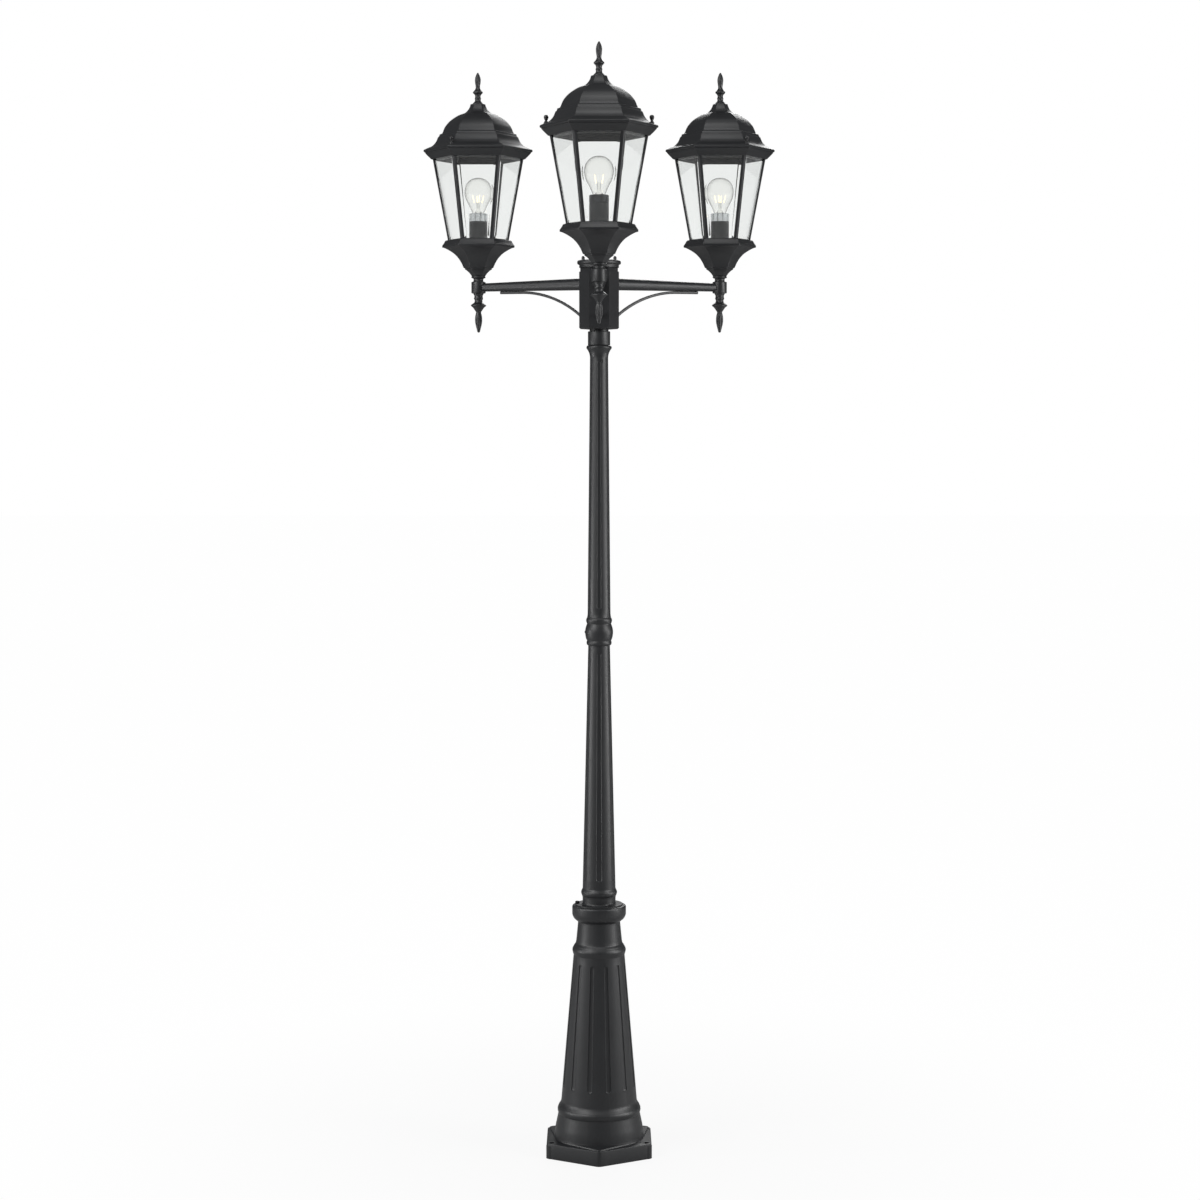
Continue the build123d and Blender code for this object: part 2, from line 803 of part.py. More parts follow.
arm_lean = (arm_root_radius - arm_tip_radius) / (arm_reach - hub_face)
brace_drop = arm_root_radius + brace_width / 2 + joint_gap
brace_tangent = (
    brace_tangent_reach,
    arm_level - brace_drop + arm_lean * (brace_tangent_reach - hub_face),
)
brace_end = (brace_end_reach, arm_level - brace_drop + arm_lean * (brace_end_reach - hub_face))
brace_sweep = degrees(asin((brace_tangent_reach - hub_face) / brace_bend_radius)) + 2
with BuildPart() as brace:
    with BuildLine(Plane.XZ) as brace_path:
        Line(brace_end, brace_tangent)
        JernArc(brace_tangent, (-1, -arm_lean), brace_bend_radius, brace_sweep)
    with BuildSketch(Plane(origin=brace_path.line @ 0, x_dir=(0, 1, 0), z_dir=brace_path.line % 0)):
        Rectangle(brace_width, brace_width)
        chamfer(vertices(), brace_bevel)
    sweep()
    split(bisect_by=Plane(origin=(hub_face, 0, 0), z_dir=(1, 0, 0)), keep=Keep.TOP)

# ---- Nipple, locknut and lower finial on the lantern's axis ----

nipple_bottom = socket_bottom - nipple_drop
nipple_rod = rod(nipple_radius, nipple_bottom, nipple_bottom + nipple_length, knob_sides)
nipple_hollow = rod(nipple_bore, nipple_bottom, nipple_bottom + nipple_length, knob_sides)
with BuildPart() as nipple:
    add(nipple_rod)
    add(nipple_hollow, mode=Mode.SUBTRACT)

locknut_body = rod(locknut_radius, pan_floor, pan_floor + locknut_height, 6)
nipple_hole = bore(nipple_radius + joint_gap, nipple_bottom - lift_gap, pan_floor + locknut_height)
with BuildPart() as locknut:
    add(locknut_body)
    add(nipple_hole, mode=Mode.SUBTRACT)

lower_finial_body = faceted(lower_finial_outline, finial_sides, socket_bottom, way=-1)
with BuildPart() as lower_finial:
    add(lower_finial_body)
    add(nipple_hole, mode=Mode.SUBTRACT)

# ---- Pan: round foot and hexagonal bowl in one casting ----


def flats(radius, height):
    """Point of a hexagonal section, from the radius to its corners."""
    return (radius * hex_flat, height)


with BuildLine() as pan_outline:
    Polyline(
        (0, pan_bowl_base),
        flats(pan_bowl_radius, pan_bowl_base),
        *[flats(radius, pan_bowl_base + height) for radius, height in pan_bowl_curve],
        flats(pan_bowl_top_radius, pan_step),
        flats(pan_step_radius, pan_cove_base),
        *[flats(radius, pan_cove_base + height) for radius, height in pan_cove_curve],
        flats(pan_lip_radius, pan_lip),
        flats(pan_lip_radius, pan_lip_top),
        flats(pan_rim_radius, pan_top),
        flats(pan_recess_radius, pan_top),
        flats(pan_recess_radius, pan_ledge),
        flats(pan_ledge_radius, pan_ledge),
        flats(pan_ledge_radius, pan_lip),
    )
    Polyline(
        flats(pan_ledge_radius, pan_lip),
        flats(pan_inner_middle[0], pan_bowl_base + pan_inner_middle[1]),
        flats(pan_inner_foot[0], pan_bowl_base + pan_inner_foot[1]),
        flats(pan_floor_radius, pan_floor),
        (0, pan_floor),
        (0, pan_bowl_base),
    )

pan_foot_outline = [
    (0, socket_top),
    (pan_foot_radius, socket_top),
    (pan_neck_radius, socket_top + pan_neck_height / 3),
    (pan_neck_radius, pan_ring_base - pan_neck_height / 4),
    (pan_ring_radius, pan_ring_base),
    (pan_ring_radius, pan_bowl_base),
    (0, pan_bowl_base),
]
pan_bowl = many_sided(pan_outline.line, 6)
pan_foot = faceted(pan_foot_outline, finial_sides)
with BuildPart() as pan:
    add(pan_bowl)
    add(pan_foot)
    add(nipple_hole, mode=Mode.SUBTRACT)

# ---- Cage: sill, six bars and eave band in one casting ----

cage_lean = (cage_head_radius - cage_foot_radius) / cage_window_height


def corner_radius(level):
    """Radius to the outer corners of the cage's bars at a height."""
    return cage_foot_radius + cage_lean * (level - pan_top)


def bar_section(radius):
    """Bar section round a corner on +X: two lips along the faces and a web between the panes."""
    lip_end = (radius - bar_flange / 2, bar_flange * hex_flat)
    lip_back = (lip_end[0] - bar_lip * hex_flat, lip_end[1] - bar_lip / 2)
    run = (bar_web / 2 + bar_lip / 2) / hex_flat
    root = (radius - bar_lip * hex_flat - run / 2, bar_web / 2)
    web_end = (radius - bar_depth, bar_web / 2)
    half = [lip_end, lip_back, root, web_end]
    return [(radius, 0), *half, *[(x, -y) for x, y in reversed(half)]]


with BuildLine() as sill_outline:
    Polyline(
        flats(sill_inner_radius, pan_ledge),
        flats(sill_outer_radius, pan_ledge),
        flats(sill_outer_radius, sill_top),
        flats(sill_inner_radius, sill_top),
        flats(sill_inner_radius, pan_ledge),
    )

with BuildLine() as eave_outline:
    Polyline(
        flats(eave_bottom_radius, eave_bottom),
        flats(eave_top_radius, eave_top),
        flats(eave_inner_radius, eave_top),
        flats(eave_inner_radius, eave_bottom - eave_inner_drop),
        flats(groove_inner_radius, eave_bottom - eave_inner_drop),
        flats(groove_inner_radius, groove_top),
        flats(groove_head_radius, groove_top),
        flats(groove_outer_radius, eave_bottom),
        flats(eave_bottom_radius, eave_bottom),
    )

with BuildPart() as bar:
    for level in (pan_ledge, groove_top + joint_gap):
        with BuildSketch(Plane.XY.offset(level)):
            Polygon(*bar_section(corner_radius(level)), align=None)
    loft(ruled=True)

sill_ring = many_sided(sill_outline.line, 6)
eave_band = many_sided(eave_outline.line, 6)
knob_hole = bore(knob_stem_radius + thumb_gap, eave_top - knob_stem_depth - lift_gap, knob_seat)
knob_spots = on_circle(knob_circle, (-90, 90))
knob_places = [Location((x, y, 0)) for x, y in knob_spots]
with BuildPart() as cage:
    add(sill_ring)
    add(eave_band)
    with PolarLocations(0, 6, start_angle=30):
        add(bar.part)
    with Locations(knob_places):
        add(knob_hole, mode=Mode.SUBTRACT)

# ---- Panes: six bevelled plates that lean outwards with the bars ----

pane_bottom = sill_top + joint_gap
pane_tilt = atan(cage_lean * hex_flat)
pane_flat = corner_radius(pane_bottom) * hex_flat - pane_setback / cos(pane_tilt)
pane_plane = Plane(
    origin=(pane_flat, 0, pane_bottom),
    x_dir=(0, 1, 0),
    z_dir=(cos(pane_tilt), 0, -sin(pane_tilt)),
)
pane_foot_half = corner_radius(pane_bottom) / 2 - pane_cover
pane_head_half = corner_radius(pane_bottom + pane_rise) / 2 - pane_cover
pane_corners = [
    (-pane_foot_half, 0),
    (pane_foot_half, 0),
    (pane_head_half, pane_rise / cos(pane_tilt)),
    (-pane_head_half, pane_rise / cos(pane_tilt)),
]
with BuildPart() as pane:
    with BuildSketch(pane_plane):
        Polygon(*pane_corners, align=None)
        offset(amount=-pane_bevel, kind=Kind.INTERSECTION, mode=Mode.REPLACE)
    with BuildSketch(pane_plane.offset(-pane_bevel_depth)):
        Polygon(*pane_corners, align=None)
    loft(ruled=True)
    with BuildSketch(pane_plane.offset(-pane_bevel_depth)):
        Polygon(*pane_corners, align=None)
    extrude(amount=pane_bevel_depth - pane_thickness)
with BuildPart() as panes:
    with PolarLocations(0, 6):
        add(pane.part)

# ---- Lampholder and bulb ----

socket_floor = holder_top - holder_socket_depth
holder_shell = rod(holder_radius, holder_bottom, holder_top, bulb_sides)
holder_mouth = rod(holder_bore, socket_floor, holder_top, bulb_sides)
holder_cavity = rod(
    holder_radius - holder_wall,
    holder_bottom + holder_foot,
    socket_floor - holder_socket_floor,
    bore_sides,
)
holder_hole = bore(nipple_radius + joint_gap, holder_bottom, holder_bottom + holder_foot)
with BuildPart() as lampholder:
    add(holder_shell)
    for hollow in (holder_mouth, holder_cavity, holder_hole):
        add(hollow, mode=Mode.SUBTRACT)

bulb_cap = faceted(
    [
        (0, bulb_seat),
        (cap_tip_radius, bulb_seat),
        (cap_tip_radius, bulb_seat + cap_tip_height),
        (cap_shell_radius, bulb_seat + cap_tip_height),
        (cap_shell_radius, glass_bottom),
        (0, glass_bottom),
    ],
    bulb_sides,
)

bulb_body = faceted(bulb_outline, bulb_sides, glass_bottom)
bulb_core = faceted(bulb_inner_outline, bulb_sides, glass_bottom)
with BuildPart() as bulb_glass:
    add(bulb_body)
    add(bulb_core, mode=Mode.SUBTRACT)

bulb_stem = faceted(
    [(0, 0), (bulb_stem_radius, 0), (bulb_stem_radius / 2, bulb_stem_height), (0, bulb_stem_height)],
    bore_sides,
    glass_bottom,
)
with BuildPart() as filament:
    add(bulb_stem)
    with BuildSketch(Plane.XY.offset(glass_bottom + bulb_stem_height - bulb_stem_radius)):
        with PolarLocations(filament_circle - filament_size, filament_count):
            Rectangle(filament_size, filament_size)
    extrude(amount=filament_length + bulb_stem_radius)

# ---- Lid, its two knobs and the finial on top ----


def over_lid(spot):
    return (spot[0], lid_bottom + spot[1])


with BuildLine() as lid_outline:
    Polyline(
        over_lid(lid_rim),
        over_lid(lid_rim_outer),
        over_lid(lid_rim_upper),
        over_lid(lid_slope_top),
        over_lid(lid_slope_foot),
    )
    Polyline(
        over_lid(lid_slope_foot),
        over_lid(lid_cove_lower),
        over_lid(lid_cove_upper),
        over_lid(lid_cove_head),
        over_lid(lid_ledge_lower),
        over_lid(lid_ledge_upper),
        over_lid(lid_dome_ledge),
        over_lid(lid_dome_foot),
    )
    ThreePointArc(over_lid(lid_dome_foot), over_lid(lid_dome_middle), over_lid(lid_dome_head))
    Polyline(
        over_lid(lid_dome_head),
        over_lid(lid_crown_foot),
        over_lid(lid_crown_middle),
        over_lid(lid_crown_top),
        (0, lid_top),
        (0, lid_bottom + lid_ceiling[1]),
        over_lid(lid_ceiling),
        over_lid(lid_inner_middle),
        over_lid(lid_inner_foot),
        over_lid(lid_inner_ledge),
        over_lid(lid_inner_cove),
        over_lid((lid_skirt_flat - lid_skirt_wall, lid_skirt_root)),
        over_lid((lid_skirt_flat - lid_skirt_wall, -lid_skirt_depth)),
        over_lid((lid_skirt_flat, -lid_skirt_depth)),
        over_lid((lid_skirt_flat, lid_eave_root[1])),
        over_lid(lid_eave_root),
        over_lid(lid_eave_end),
        over_lid((lid_eave_end[0], lid_rim[1])),
        over_lid(lid_rim),
    )

lid_body = many_sided(lid_outline.line, 6)
knob_spot_face = rod(knob_spot_radius, knob_seat - lift_gap, knob_seat + knob_seat_height, bore_sides)
stud_hole = bore(finial_stud_radius + joint_gap, lid_top - finial_stud_length - lift_gap, lid_top)
with BuildPart() as lid:
    add(lid_body)
    with Locations(knob_places):
        add(knob_spot_face, mode=Mode.SUBTRACT)
        add(knob_hole, mode=Mode.SUBTRACT)
    add(stud_hole, mode=Mode.SUBTRACT)

knob_shank = knob_seat - eave_top + knob_stem_depth
knob_head = faceted([(0, 0), *knob_outline], knob_sides, knob_seat)
with BuildPart() as knob:
    add(knob_head)
    with Locations((0, 0, knob_seat)):
        Cylinder(knob_stem_radius, knob_shank, align=(Align.CENTER, Align.CENTER, Align.MAX))

top_finial = faceted(
    on_shank(top_finial_outline, finial_stud_radius, finial_stud_length), finial_sides, lid_top
)

# ---- The three heads, and the small parts of all of them ----

for head in head_turns:
    write_piece(arm.part, f"{head}_arm", head_place(head))
    write_piece(brace.part, f"{head}_brace", head_place(head))
    write_piece(lower_finial.part, f"{head}_lower_finial", lantern_place(head))
    write_piece(pan.part, f"{head}_pan", lantern_place(head))
    write_piece(cage.part, f"{head}_cage", lantern_place(head))
    write_piece(panes.part, f"{head}_panes", lantern_place(head))
    write_piece(lampholder.part, f"{head}_lampholder", lantern_place(head))
    write_piece(bulb_cap, f"{head}_bulb_cap", lantern_place(head))
    write_piece(bulb_glass.part, f"{head}_bulb_glass", lantern_place(head))
    write_piece(filament.part, f"{head}_bulb_filament", lantern_place(head))
    write_piece(lid.part, f"{head}_lid", lantern_place(head))
    write_piece(knob.part, f"{head}_lid_knob_1", lantern_place(head, knob_spots[0]))
    write_piece(knob.part, f"{head}_lid_knob_2", lantern_place(head, knob_spots[1]))
    write_piece(top_finial, f"{head}_top_finial", lantern_place(head))

write_piece(nipple.part, "nipples", [lantern_place(head) for head in head_turns])
write_piece(locknut.part, "locknuts", [lantern_place(head) for head in head_turns])
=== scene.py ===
import json
import math

import bmesh
import bpy
from mathutils import Matrix, Vector


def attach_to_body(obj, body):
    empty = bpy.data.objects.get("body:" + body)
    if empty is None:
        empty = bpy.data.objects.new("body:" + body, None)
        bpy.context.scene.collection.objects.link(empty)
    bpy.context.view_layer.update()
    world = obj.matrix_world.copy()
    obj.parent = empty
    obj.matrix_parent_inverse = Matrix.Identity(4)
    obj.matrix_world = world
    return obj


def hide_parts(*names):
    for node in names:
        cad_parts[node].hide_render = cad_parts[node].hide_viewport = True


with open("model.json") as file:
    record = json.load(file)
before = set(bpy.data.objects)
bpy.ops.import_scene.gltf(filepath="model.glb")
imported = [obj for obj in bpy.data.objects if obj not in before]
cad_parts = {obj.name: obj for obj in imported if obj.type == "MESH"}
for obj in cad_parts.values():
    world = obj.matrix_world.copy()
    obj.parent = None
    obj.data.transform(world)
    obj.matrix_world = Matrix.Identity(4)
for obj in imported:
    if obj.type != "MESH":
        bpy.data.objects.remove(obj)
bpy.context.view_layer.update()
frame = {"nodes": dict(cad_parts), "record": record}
mm = 0.001
headTurns = {"front": -90, "right": 30, "left": 150}
armReach = 308

photoView = {"place": (0.002, -5.535, 1.591), "pitch": 0.068, "lens": 76.7, "sensor": 36, "clipEnd": 60}
studio = {
    "ambient": 0.13,
    "floor": (0.5, 0.5, 0.5, 1),
    "floorHalf": 40,
    # share of the floor that shows as plain white, beside the post and fadeOver metres away
    "floorShow": (0.9, 0.992),
    "fadeOver": 1.6,
    "lamps": [
        # name, place, aim, size, watts
        ("keyLamp", (-3.0, -2.6, 3.4), (0, 0, 1.5), 2.4, 150),
        ("fillLamp", (3.4, -1.6, 2.4), (0, 0, 1.3), 1.2, 85),
        ("topLamp", (0.2, -1.6, 4.6), (0, 0, 2.0), 1.6, 34),
        ("leftLamp", (-3.0, -0.5, 0.9), (0, 0, 0.8), 0.9, 36),
        ("rightLamp", (3.0, -0.3, 0.9), (0, 0, 0.8), 0.9, 33),
        ("rimLamp", (0.6, 3.4, 3.2), (0, 0, 1.7), 1.6, 60),
    ],
}


def makeCamera():
    data = bpy.data.cameras.new("camera")
    data.lens, data.sensor_width = photoView["lens"], photoView["sensor"]
    data.clip_end = photoView["clipEnd"]
    camera = bpy.data.objects.new("camera", data)
    camera.location = photoView["place"]
    camera.rotation_euler = (math.pi / 2 - photoView["pitch"], 0, 0)
    bpy.context.collection.objects.link(camera)
    bpy.context.scene.camera = camera


def seenDirectly(tree):
    # 1 for rays from the camera and through glass
    path, either = tree.nodes.new("ShaderNodeLightPath"), tree.nodes.new("ShaderNodeMath")
    either.operation = "MAXIMUM"
    tree.links.new(path.outputs["Is Camera Ray"], either.inputs[0])
    tree.links.new(path.outputs["Is Transmission Ray"], either.inputs[1])
    return either.outputs[0]


def makeWorld():
    world = bpy.data.worlds.new("studio")
    world.use_nodes = True
    tree = world.node_tree
    tree.nodes.clear()
    seen, lit = tree.nodes.new("ShaderNodeBackground"), tree.nodes.new("ShaderNodeBackground")
    seen.inputs["Color"].default_value = (1, 1, 1, 1)
    lit.inputs["Color"].default_value = (0.98, 0.99, 1, 1)
    lit.inputs["Strength"].default_value = studio["ambient"]
    mix = tree.nodes.new("ShaderNodeMixShader")
    out = tree.nodes.new("ShaderNodeOutputWorld")
    tree.links.new(seenDirectly(tree), mix.inputs[0])
    tree.links.new(lit.outputs[0], mix.inputs[1])
    tree.links.new(seen.outputs[0], mix.inputs[2])
    tree.links.new(mix.outputs[0], out.inputs[0])
    bpy.context.scene.world = world
    bpy.context.scene.view_settings.view_transform = "Standard"


def makeLamps():
    for name, place, aim, size, watts in studio["lamps"]:
        data = bpy.data.lights.new(name, "AREA")
        data.size, data.energy = size, watts
        lamp = bpy.data.objects.new(name, data)
        lamp.location = place
        lamp.visible_transmission = False  # the glass shows the white behind it, not the lamps
        lamp.rotation_euler = (Vector(aim) - Vector(place)).to_track_quat("-Z", "Y").to_euler()
        bpy.context.collection.objects.link(lamp)


def makeFloor():
    mesh = bpy.data.meshes.new("floor")
    half = studio["floorHalf"]
    mesh.from_pydata([(-half, -half, 0), (half, -half, 0), (half, half, 0), (-half, half, 0)], [], [(0, 1, 2, 3)])
    floor = bpy.data.objects.new("floor", mesh)
    bpy.context.collection.objects.link(floor)
    material = bpy.data.materials.new("floorPaper")
    material.use_nodes = True
    tree = material.node_tree
    tree.nodes.clear()
    paper = tree.nodes.new("ShaderNodeBsdfDiffuse")
    paper.inputs["Color"].default_value = studio["floor"]
    glow = tree.nodes.new("ShaderNodeEmission")
    glow.inputs["Strength"].default_value = 1
    share = tree.nodes.new("ShaderNodeMath")
    share.operation = "MULTIPLY"
    where, away = tree.nodes.new("ShaderNodeTexCoord"), tree.nodes.new("ShaderNodeVectorMath")
    fade = tree.nodes.new("ShaderNodeMapRange")
    away.operation = "LENGTH"
    fade.interpolation_type = "SMOOTHSTEP"
    fade.inputs["From Max"].default_value = studio["fadeOver"]
    fade.inputs["To Min"].default_value, fade.inputs["To Max"].default_value = studio["floorShow"]
    tree.links.new(where.outputs["Object"], away.inputs[0])
    tree.links.new(away.outputs["Value"], fade.inputs["Value"])
    tree.links.new(fade.outputs["Result"], share.inputs[1])
    mix = tree.nodes.new("ShaderNodeMixShader")
    out = tree.nodes.new("ShaderNodeOutputMaterial")
    tree.links.new(seenDirectly(tree), share.inputs[0])
    tree.links.new(share.outputs[0], mix.inputs[0])
    tree.links.new(paper.outputs[0], mix.inputs[1])
    tree.links.new(glow.outputs[0], mix.inputs[2])
    tree.links.new(mix.outputs[0], out.inputs[0])
    mesh.materials.append(material)


makeCamera()
makeWorld()
makeLamps()
makeFloor()
print("stage: camera, lamps and floor")

grainLook = {
    "fineDetail": 2, "broadScale": 14, "broadDetail": 4, "bump": 0.6,
    "patchFrom": 0.45, "patchFull": 0.75, "patchMost": 0.5,
}


def coatGrainGroup():
    # fine powder coat: pebbled bump, and gloss and tone that drift a little over the surface
    tree = bpy.data.node_groups.new("coatGrain", "ShaderNodeTree")
    face = tree.interface
    tone = face.new_socket("Tone", in_out="INPUT", socket_type="NodeSocketColor")
    worn = face.new_socket("Bare tone", in_out="INPUT", socket_type="NodeSocketColor")
    pebble = face.new_socket("Pebble scale", in_out="INPUT", socket_type="NodeSocketFloat")
    depth = face.new_socket("Pebble depth", in_out="INPUT", socket_type="NodeSocketFloat")
    rough = face.new_socket("Roughness", in_out="INPUT", socket_type="NodeSocketFloat")
    drift = face.new_socket("Gloss drift", in_out="INPUT", socket_type="NodeSocketFloat")
    tone.default_value, worn.default_value = (0.02, 0.02, 0.02, 1), (0.05, 0.05, 0.05, 1)
    pebble.default_value, depth.default_value = 900, 0.00003
    rough.default_value, drift.default_value = 0.45, 0.1
    for name, kind in (("Color", "NodeSocketColor"), ("Roughness", "NodeSocketFloat"), ("Normal", "NodeSocketVector")):
        face.new_socket(name, in_out="OUTPUT", socket_type=kind)
    source, out = tree.nodes.new("NodeGroupInput"), tree.nodes.new("NodeGroupOutput")
    where = tree.nodes.new("ShaderNodeTexCoord")
    fine, broad = tree.nodes.new("ShaderNodeTexNoise"), tree.nodes.new("ShaderNodeTexNoise")
    fine.inputs["Detail"].default_value = grainLook["fineDetail"]
    broad.inputs["Scale"].default_value = grainLook["broadScale"]
    broad.inputs["Detail"].default_value = grainLook["broadDetail"]
    bump = tree.nodes.new("ShaderNodeBump")
    bump.inputs["Strength"].default_value = grainLook["bump"]
    shift = tree.nodes.new("ShaderNodeMath")
    shift.operation = "SUBTRACT"
    shift.inputs[1].default_value = 0.5  # noise varies about its middle
    scaled, total = tree.nodes.new("ShaderNodeMath"), tree.nodes.new("ShaderNodeMath")
    scaled.operation, total.operation = "MULTIPLY", "ADD"
    patch = tree.nodes.new("ShaderNodeMapRange")
    patch.inputs["From Min"].default_value = grainLook["patchFrom"]
    patch.inputs["From Max"].default_value = grainLook["patchFull"]
    patch.inputs["To Max"].default_value = grainLook["patchMost"]
    blend = tree.nodes.new("ShaderNodeMix")
    blend.data_type = "RGBA"
    link = tree.links.new
    link(where.outputs["Object"], fine.inputs["Vector"])
    link(where.outputs["Object"], broad.inputs["Vector"])
    link(source.outputs["Pebble scale"], fine.inputs["Scale"])
    link(source.outputs["Pebble depth"], bump.inputs["Distance"])
    link(fine.outputs["Fac"], bump.inputs["Height"])
    link(broad.outputs["Fac"], shift.inputs[0])
    link(shift.outputs[0], scaled.inputs[0])
    link(source.outputs["Gloss drift"], scaled.inputs[1])
    link(scaled.outputs[0], total.inputs[0])
    link(source.outputs["Roughness"], total.inputs[1])
    link(broad.outputs["Fac"], patch.inputs["Value"])
    link(patch.outputs["Result"], blend.inputs["Factor"])
    link(source.outputs["Tone"], blend.inputs["A"])
    link(source.outputs["Bare tone"], blend.inputs["B"])
    link(blend.outputs["Result"], out.inputs["Color"])
    link(total.outputs[0], out.inputs["Roughness"])
    link(bump.outputs["Normal"], out.inputs["Normal"])
    return tree


coatGrain = coatGrainGroup()

finishes = {
    # tone, drifted tone, pebble scale and depth, roughness, gloss drift, metallic
    "blackCoat": ((0.0076, 0.0082, 0.0094), (0.0110, 0.0117, 0.0132), 850, 0.00003, 0.46, 0.12, 0),
    "blackScrew": ((0.012, 0.012, 0.013), (0.020, 0.020, 0.021), 1500, 0.00002, 0.36, 0.1, 0.3),
    "zincSteel": ((0.52, 0.53, 0.55), (0.42, 0.43, 0.45), 700, 0.00002, 0.38, 0.2, 1),
    "capMetal": ((0.78, 0.77, 0.73), (0.66, 0.65, 0.62), 600, 0.00001, 0.24, 0.12, 1),
    "collarShine": ((0.60, 0.62, 0.63), (0.45, 0.47, 0.48), 500, 0.00002, 0.22, 0.12, 0.85),
    "holderSleeve": ((0.0095, 0.0105, 0.0125), (0.014, 0.015, 0.018), 1200, 0.00002, 0.42, 0.1, 0),
}


def grainMaterial(name):
    tone, drifted, scale, depth, rough, drift, metallic = finishes[name]
    material = bpy.data.materials.new(name)
    material.use_nodes = True
    tree = material.node_tree
    shader = tree.nodes["Principled BSDF"]
    shader.inputs["Metallic"].default_value = metallic
    shader.inputs["Specular IOR Level"].default_value = 0.5
    grain = tree.nodes.new("ShaderNodeGroup")
    grain.node_tree = coatGrain
    grain.inputs["Tone"].default_value = (*tone, 1)
    grain.inputs["Bare tone"].default_value = (*drifted, 1)
    grain.inputs["Pebble scale"].default_value = scale
    grain.inputs["Pebble depth"].default_value = depth
    grain.inputs["Roughness"].default_value = rough
    grain.inputs["Gloss drift"].default_value = drift
    tree.links.new(grain.outputs["Color"], shader.inputs["Base Color"])
    tree.links.new(grain.outputs["Roughness"], shader.inputs["Roughness"])
    tree.links.new(grain.outputs["Normal"], shader.inputs["Normal"])
    return material


glasses = {
    # clear tint, tint at the rim (a painted dark reflection where the glass is seen edge-on), rim blend, refraction,
    # roughness, ripple depth
    "paneGlass": ((0.955, 0.965, 0.958), (0.80, 0.84, 0.83), 0.30, 1.45, 0.0, 0.00002),
    "bulbGlass": ((0.985, 0.985, 0.975), (0.08, 0.08, 0.075), 0.5, 1.12, 0.0, 0.0),
    "stemGlass": ((0.93, 0.93, 0.91), (0.35, 0.35, 0.34), 0.45, 1.12, 0.02, 0.0),
}
paintedRimSharpness = 3
rippleScale = 22


def glassMaterial(name):
    clear, rim, blend, refraction, rough, ripple = glasses[name]
    material = bpy.data.materials.new(name)
    material.use_nodes = True
    tree = material.node_tree
    shader = tree.nodes["Principled BSDF"]
    shader.inputs["Transmission Weight"].default_value = 1
    shader.inputs["IOR"].default_value = refraction
    shader.inputs["Roughness"].default_value = rough
    # painted dark reflection: the base colour turns to the rim tint where the glass is seen edge-on
    facing = tree.nodes.new("ShaderNodeLayerWeight")
    facing.inputs["Blend"].default_value = blend
    sharp = tree.nodes.new("ShaderNodeMath")
    sharp.operation = "POWER"
    sharp.inputs[1].default_value = paintedRimSharpness
    paintedRimShade = tree.nodes.new("ShaderNodeMix")
    paintedRimShade.data_type = "RGBA"
    paintedRimShade.inputs["A"].default_value, paintedRimShade.inputs["B"].default_value = (*clear, 1), (*rim, 1)
    tree.links.new(facing.outputs["Facing"], sharp.inputs[0])
    tree.links.new(sharp.outputs[0], paintedRimShade.inputs["Factor"])
    tree.links.new(paintedRimShade.outputs["Result"], shader.inputs["Base Color"])
    if ripple:
        where, waves = tree.nodes.new("ShaderNodeTexCoord"), tree.nodes.new("ShaderNodeTexNoise")
        waves.inputs["Scale"].default_value, waves.inputs["Detail"].default_value = rippleScale, 1
        bump = tree.nodes.new("ShaderNodeBump")
        bump.inputs["Distance"].default_value = ripple
        tree.links.new(where.outputs["Object"], waves.inputs["Vector"])
        tree.links.new(waves.outputs["Fac"], bump.inputs["Height"])
        tree.links.new(bump.outputs["Normal"], shader.inputs["Normal"])
    return material


filamentLook = {"glow": 3, "spots": 260, "deep": (1, 0.62, 0.16, 1), "pale": (1, 0.90, 0.55, 1)}


def glowMaterial():
    # lit filaments: a warm glow that varies in spots
    material = bpy.data.materials.new("filamentGlow")
    material.use_nodes = True
    tree = material.node_tree
    shader = tree.nodes["Principled BSDF"]
    shader.inputs["Roughness"].default_value = 0.5
    shader.inputs["Emission Strength"].default_value = filamentLook["glow"]
    where, spots = tree.nodes.new("ShaderNodeTexCoord"), tree.nodes.new("ShaderNodeTexNoise")
    spots.inputs["Scale"].default_value = filamentLook["spots"]
    warm = tree.nodes.new("ShaderNodeValToRGB")
    warm.color_ramp.elements[0].color = filamentLook["deep"]
    warm.color_ramp.elements[1].color = filamentLook["pale"]
    tree.links.new(where.outputs["Object"], spots.inputs["Vector"])
    tree.links.new(spots.outputs["Fac"], warm.inputs["Fac"])
    tree.links.new(warm.outputs["Color"], shader.inputs["Base Color"])
    tree.links.new(warm.outputs["Color"], shader.inputs["Emission Color"])
    return material


finish = {name: grainMaterial(name) for name in finishes}
finish.update({name: glassMaterial(name) for name in glasses})
finish["filamentGlow"] = glowMaterial()
print("stage: finishes")


def polar(radius, turn, height):
    return Vector((radius * math.cos(turn), radius * math.sin(turn), height))


shortestStep = 0.02  # mm between two points of an outline


def traced(outline, steps=5):
    # expands an outline: a pair is a corner, and a list of pairs is a smooth curve through them
    points = []
    for part in outline:
        if isinstance(part, tuple):
            points.append(part)
            continue
        ends = [part[0], *part, part[-1]]
        for i in range(1, len(ends) - 2):
            a, b, c, d = (Vector(p) for p in ends[i - 1 : i + 3])
            for s in range(steps):
                t = s / steps
                spot = 0.5 * (2 * b + (c - a) * t + (2 * a - 5 * b + 4 * c - d) * t**2 + (3 * b - a - 3 * c + d) * t**3)
                points.append(tuple(spot))
        points.append(part[-1])
    return [p for i, p in enumerate(points) if i == 0 or (Vector(p) - Vector(points[i - 1])).length > shortestStep]


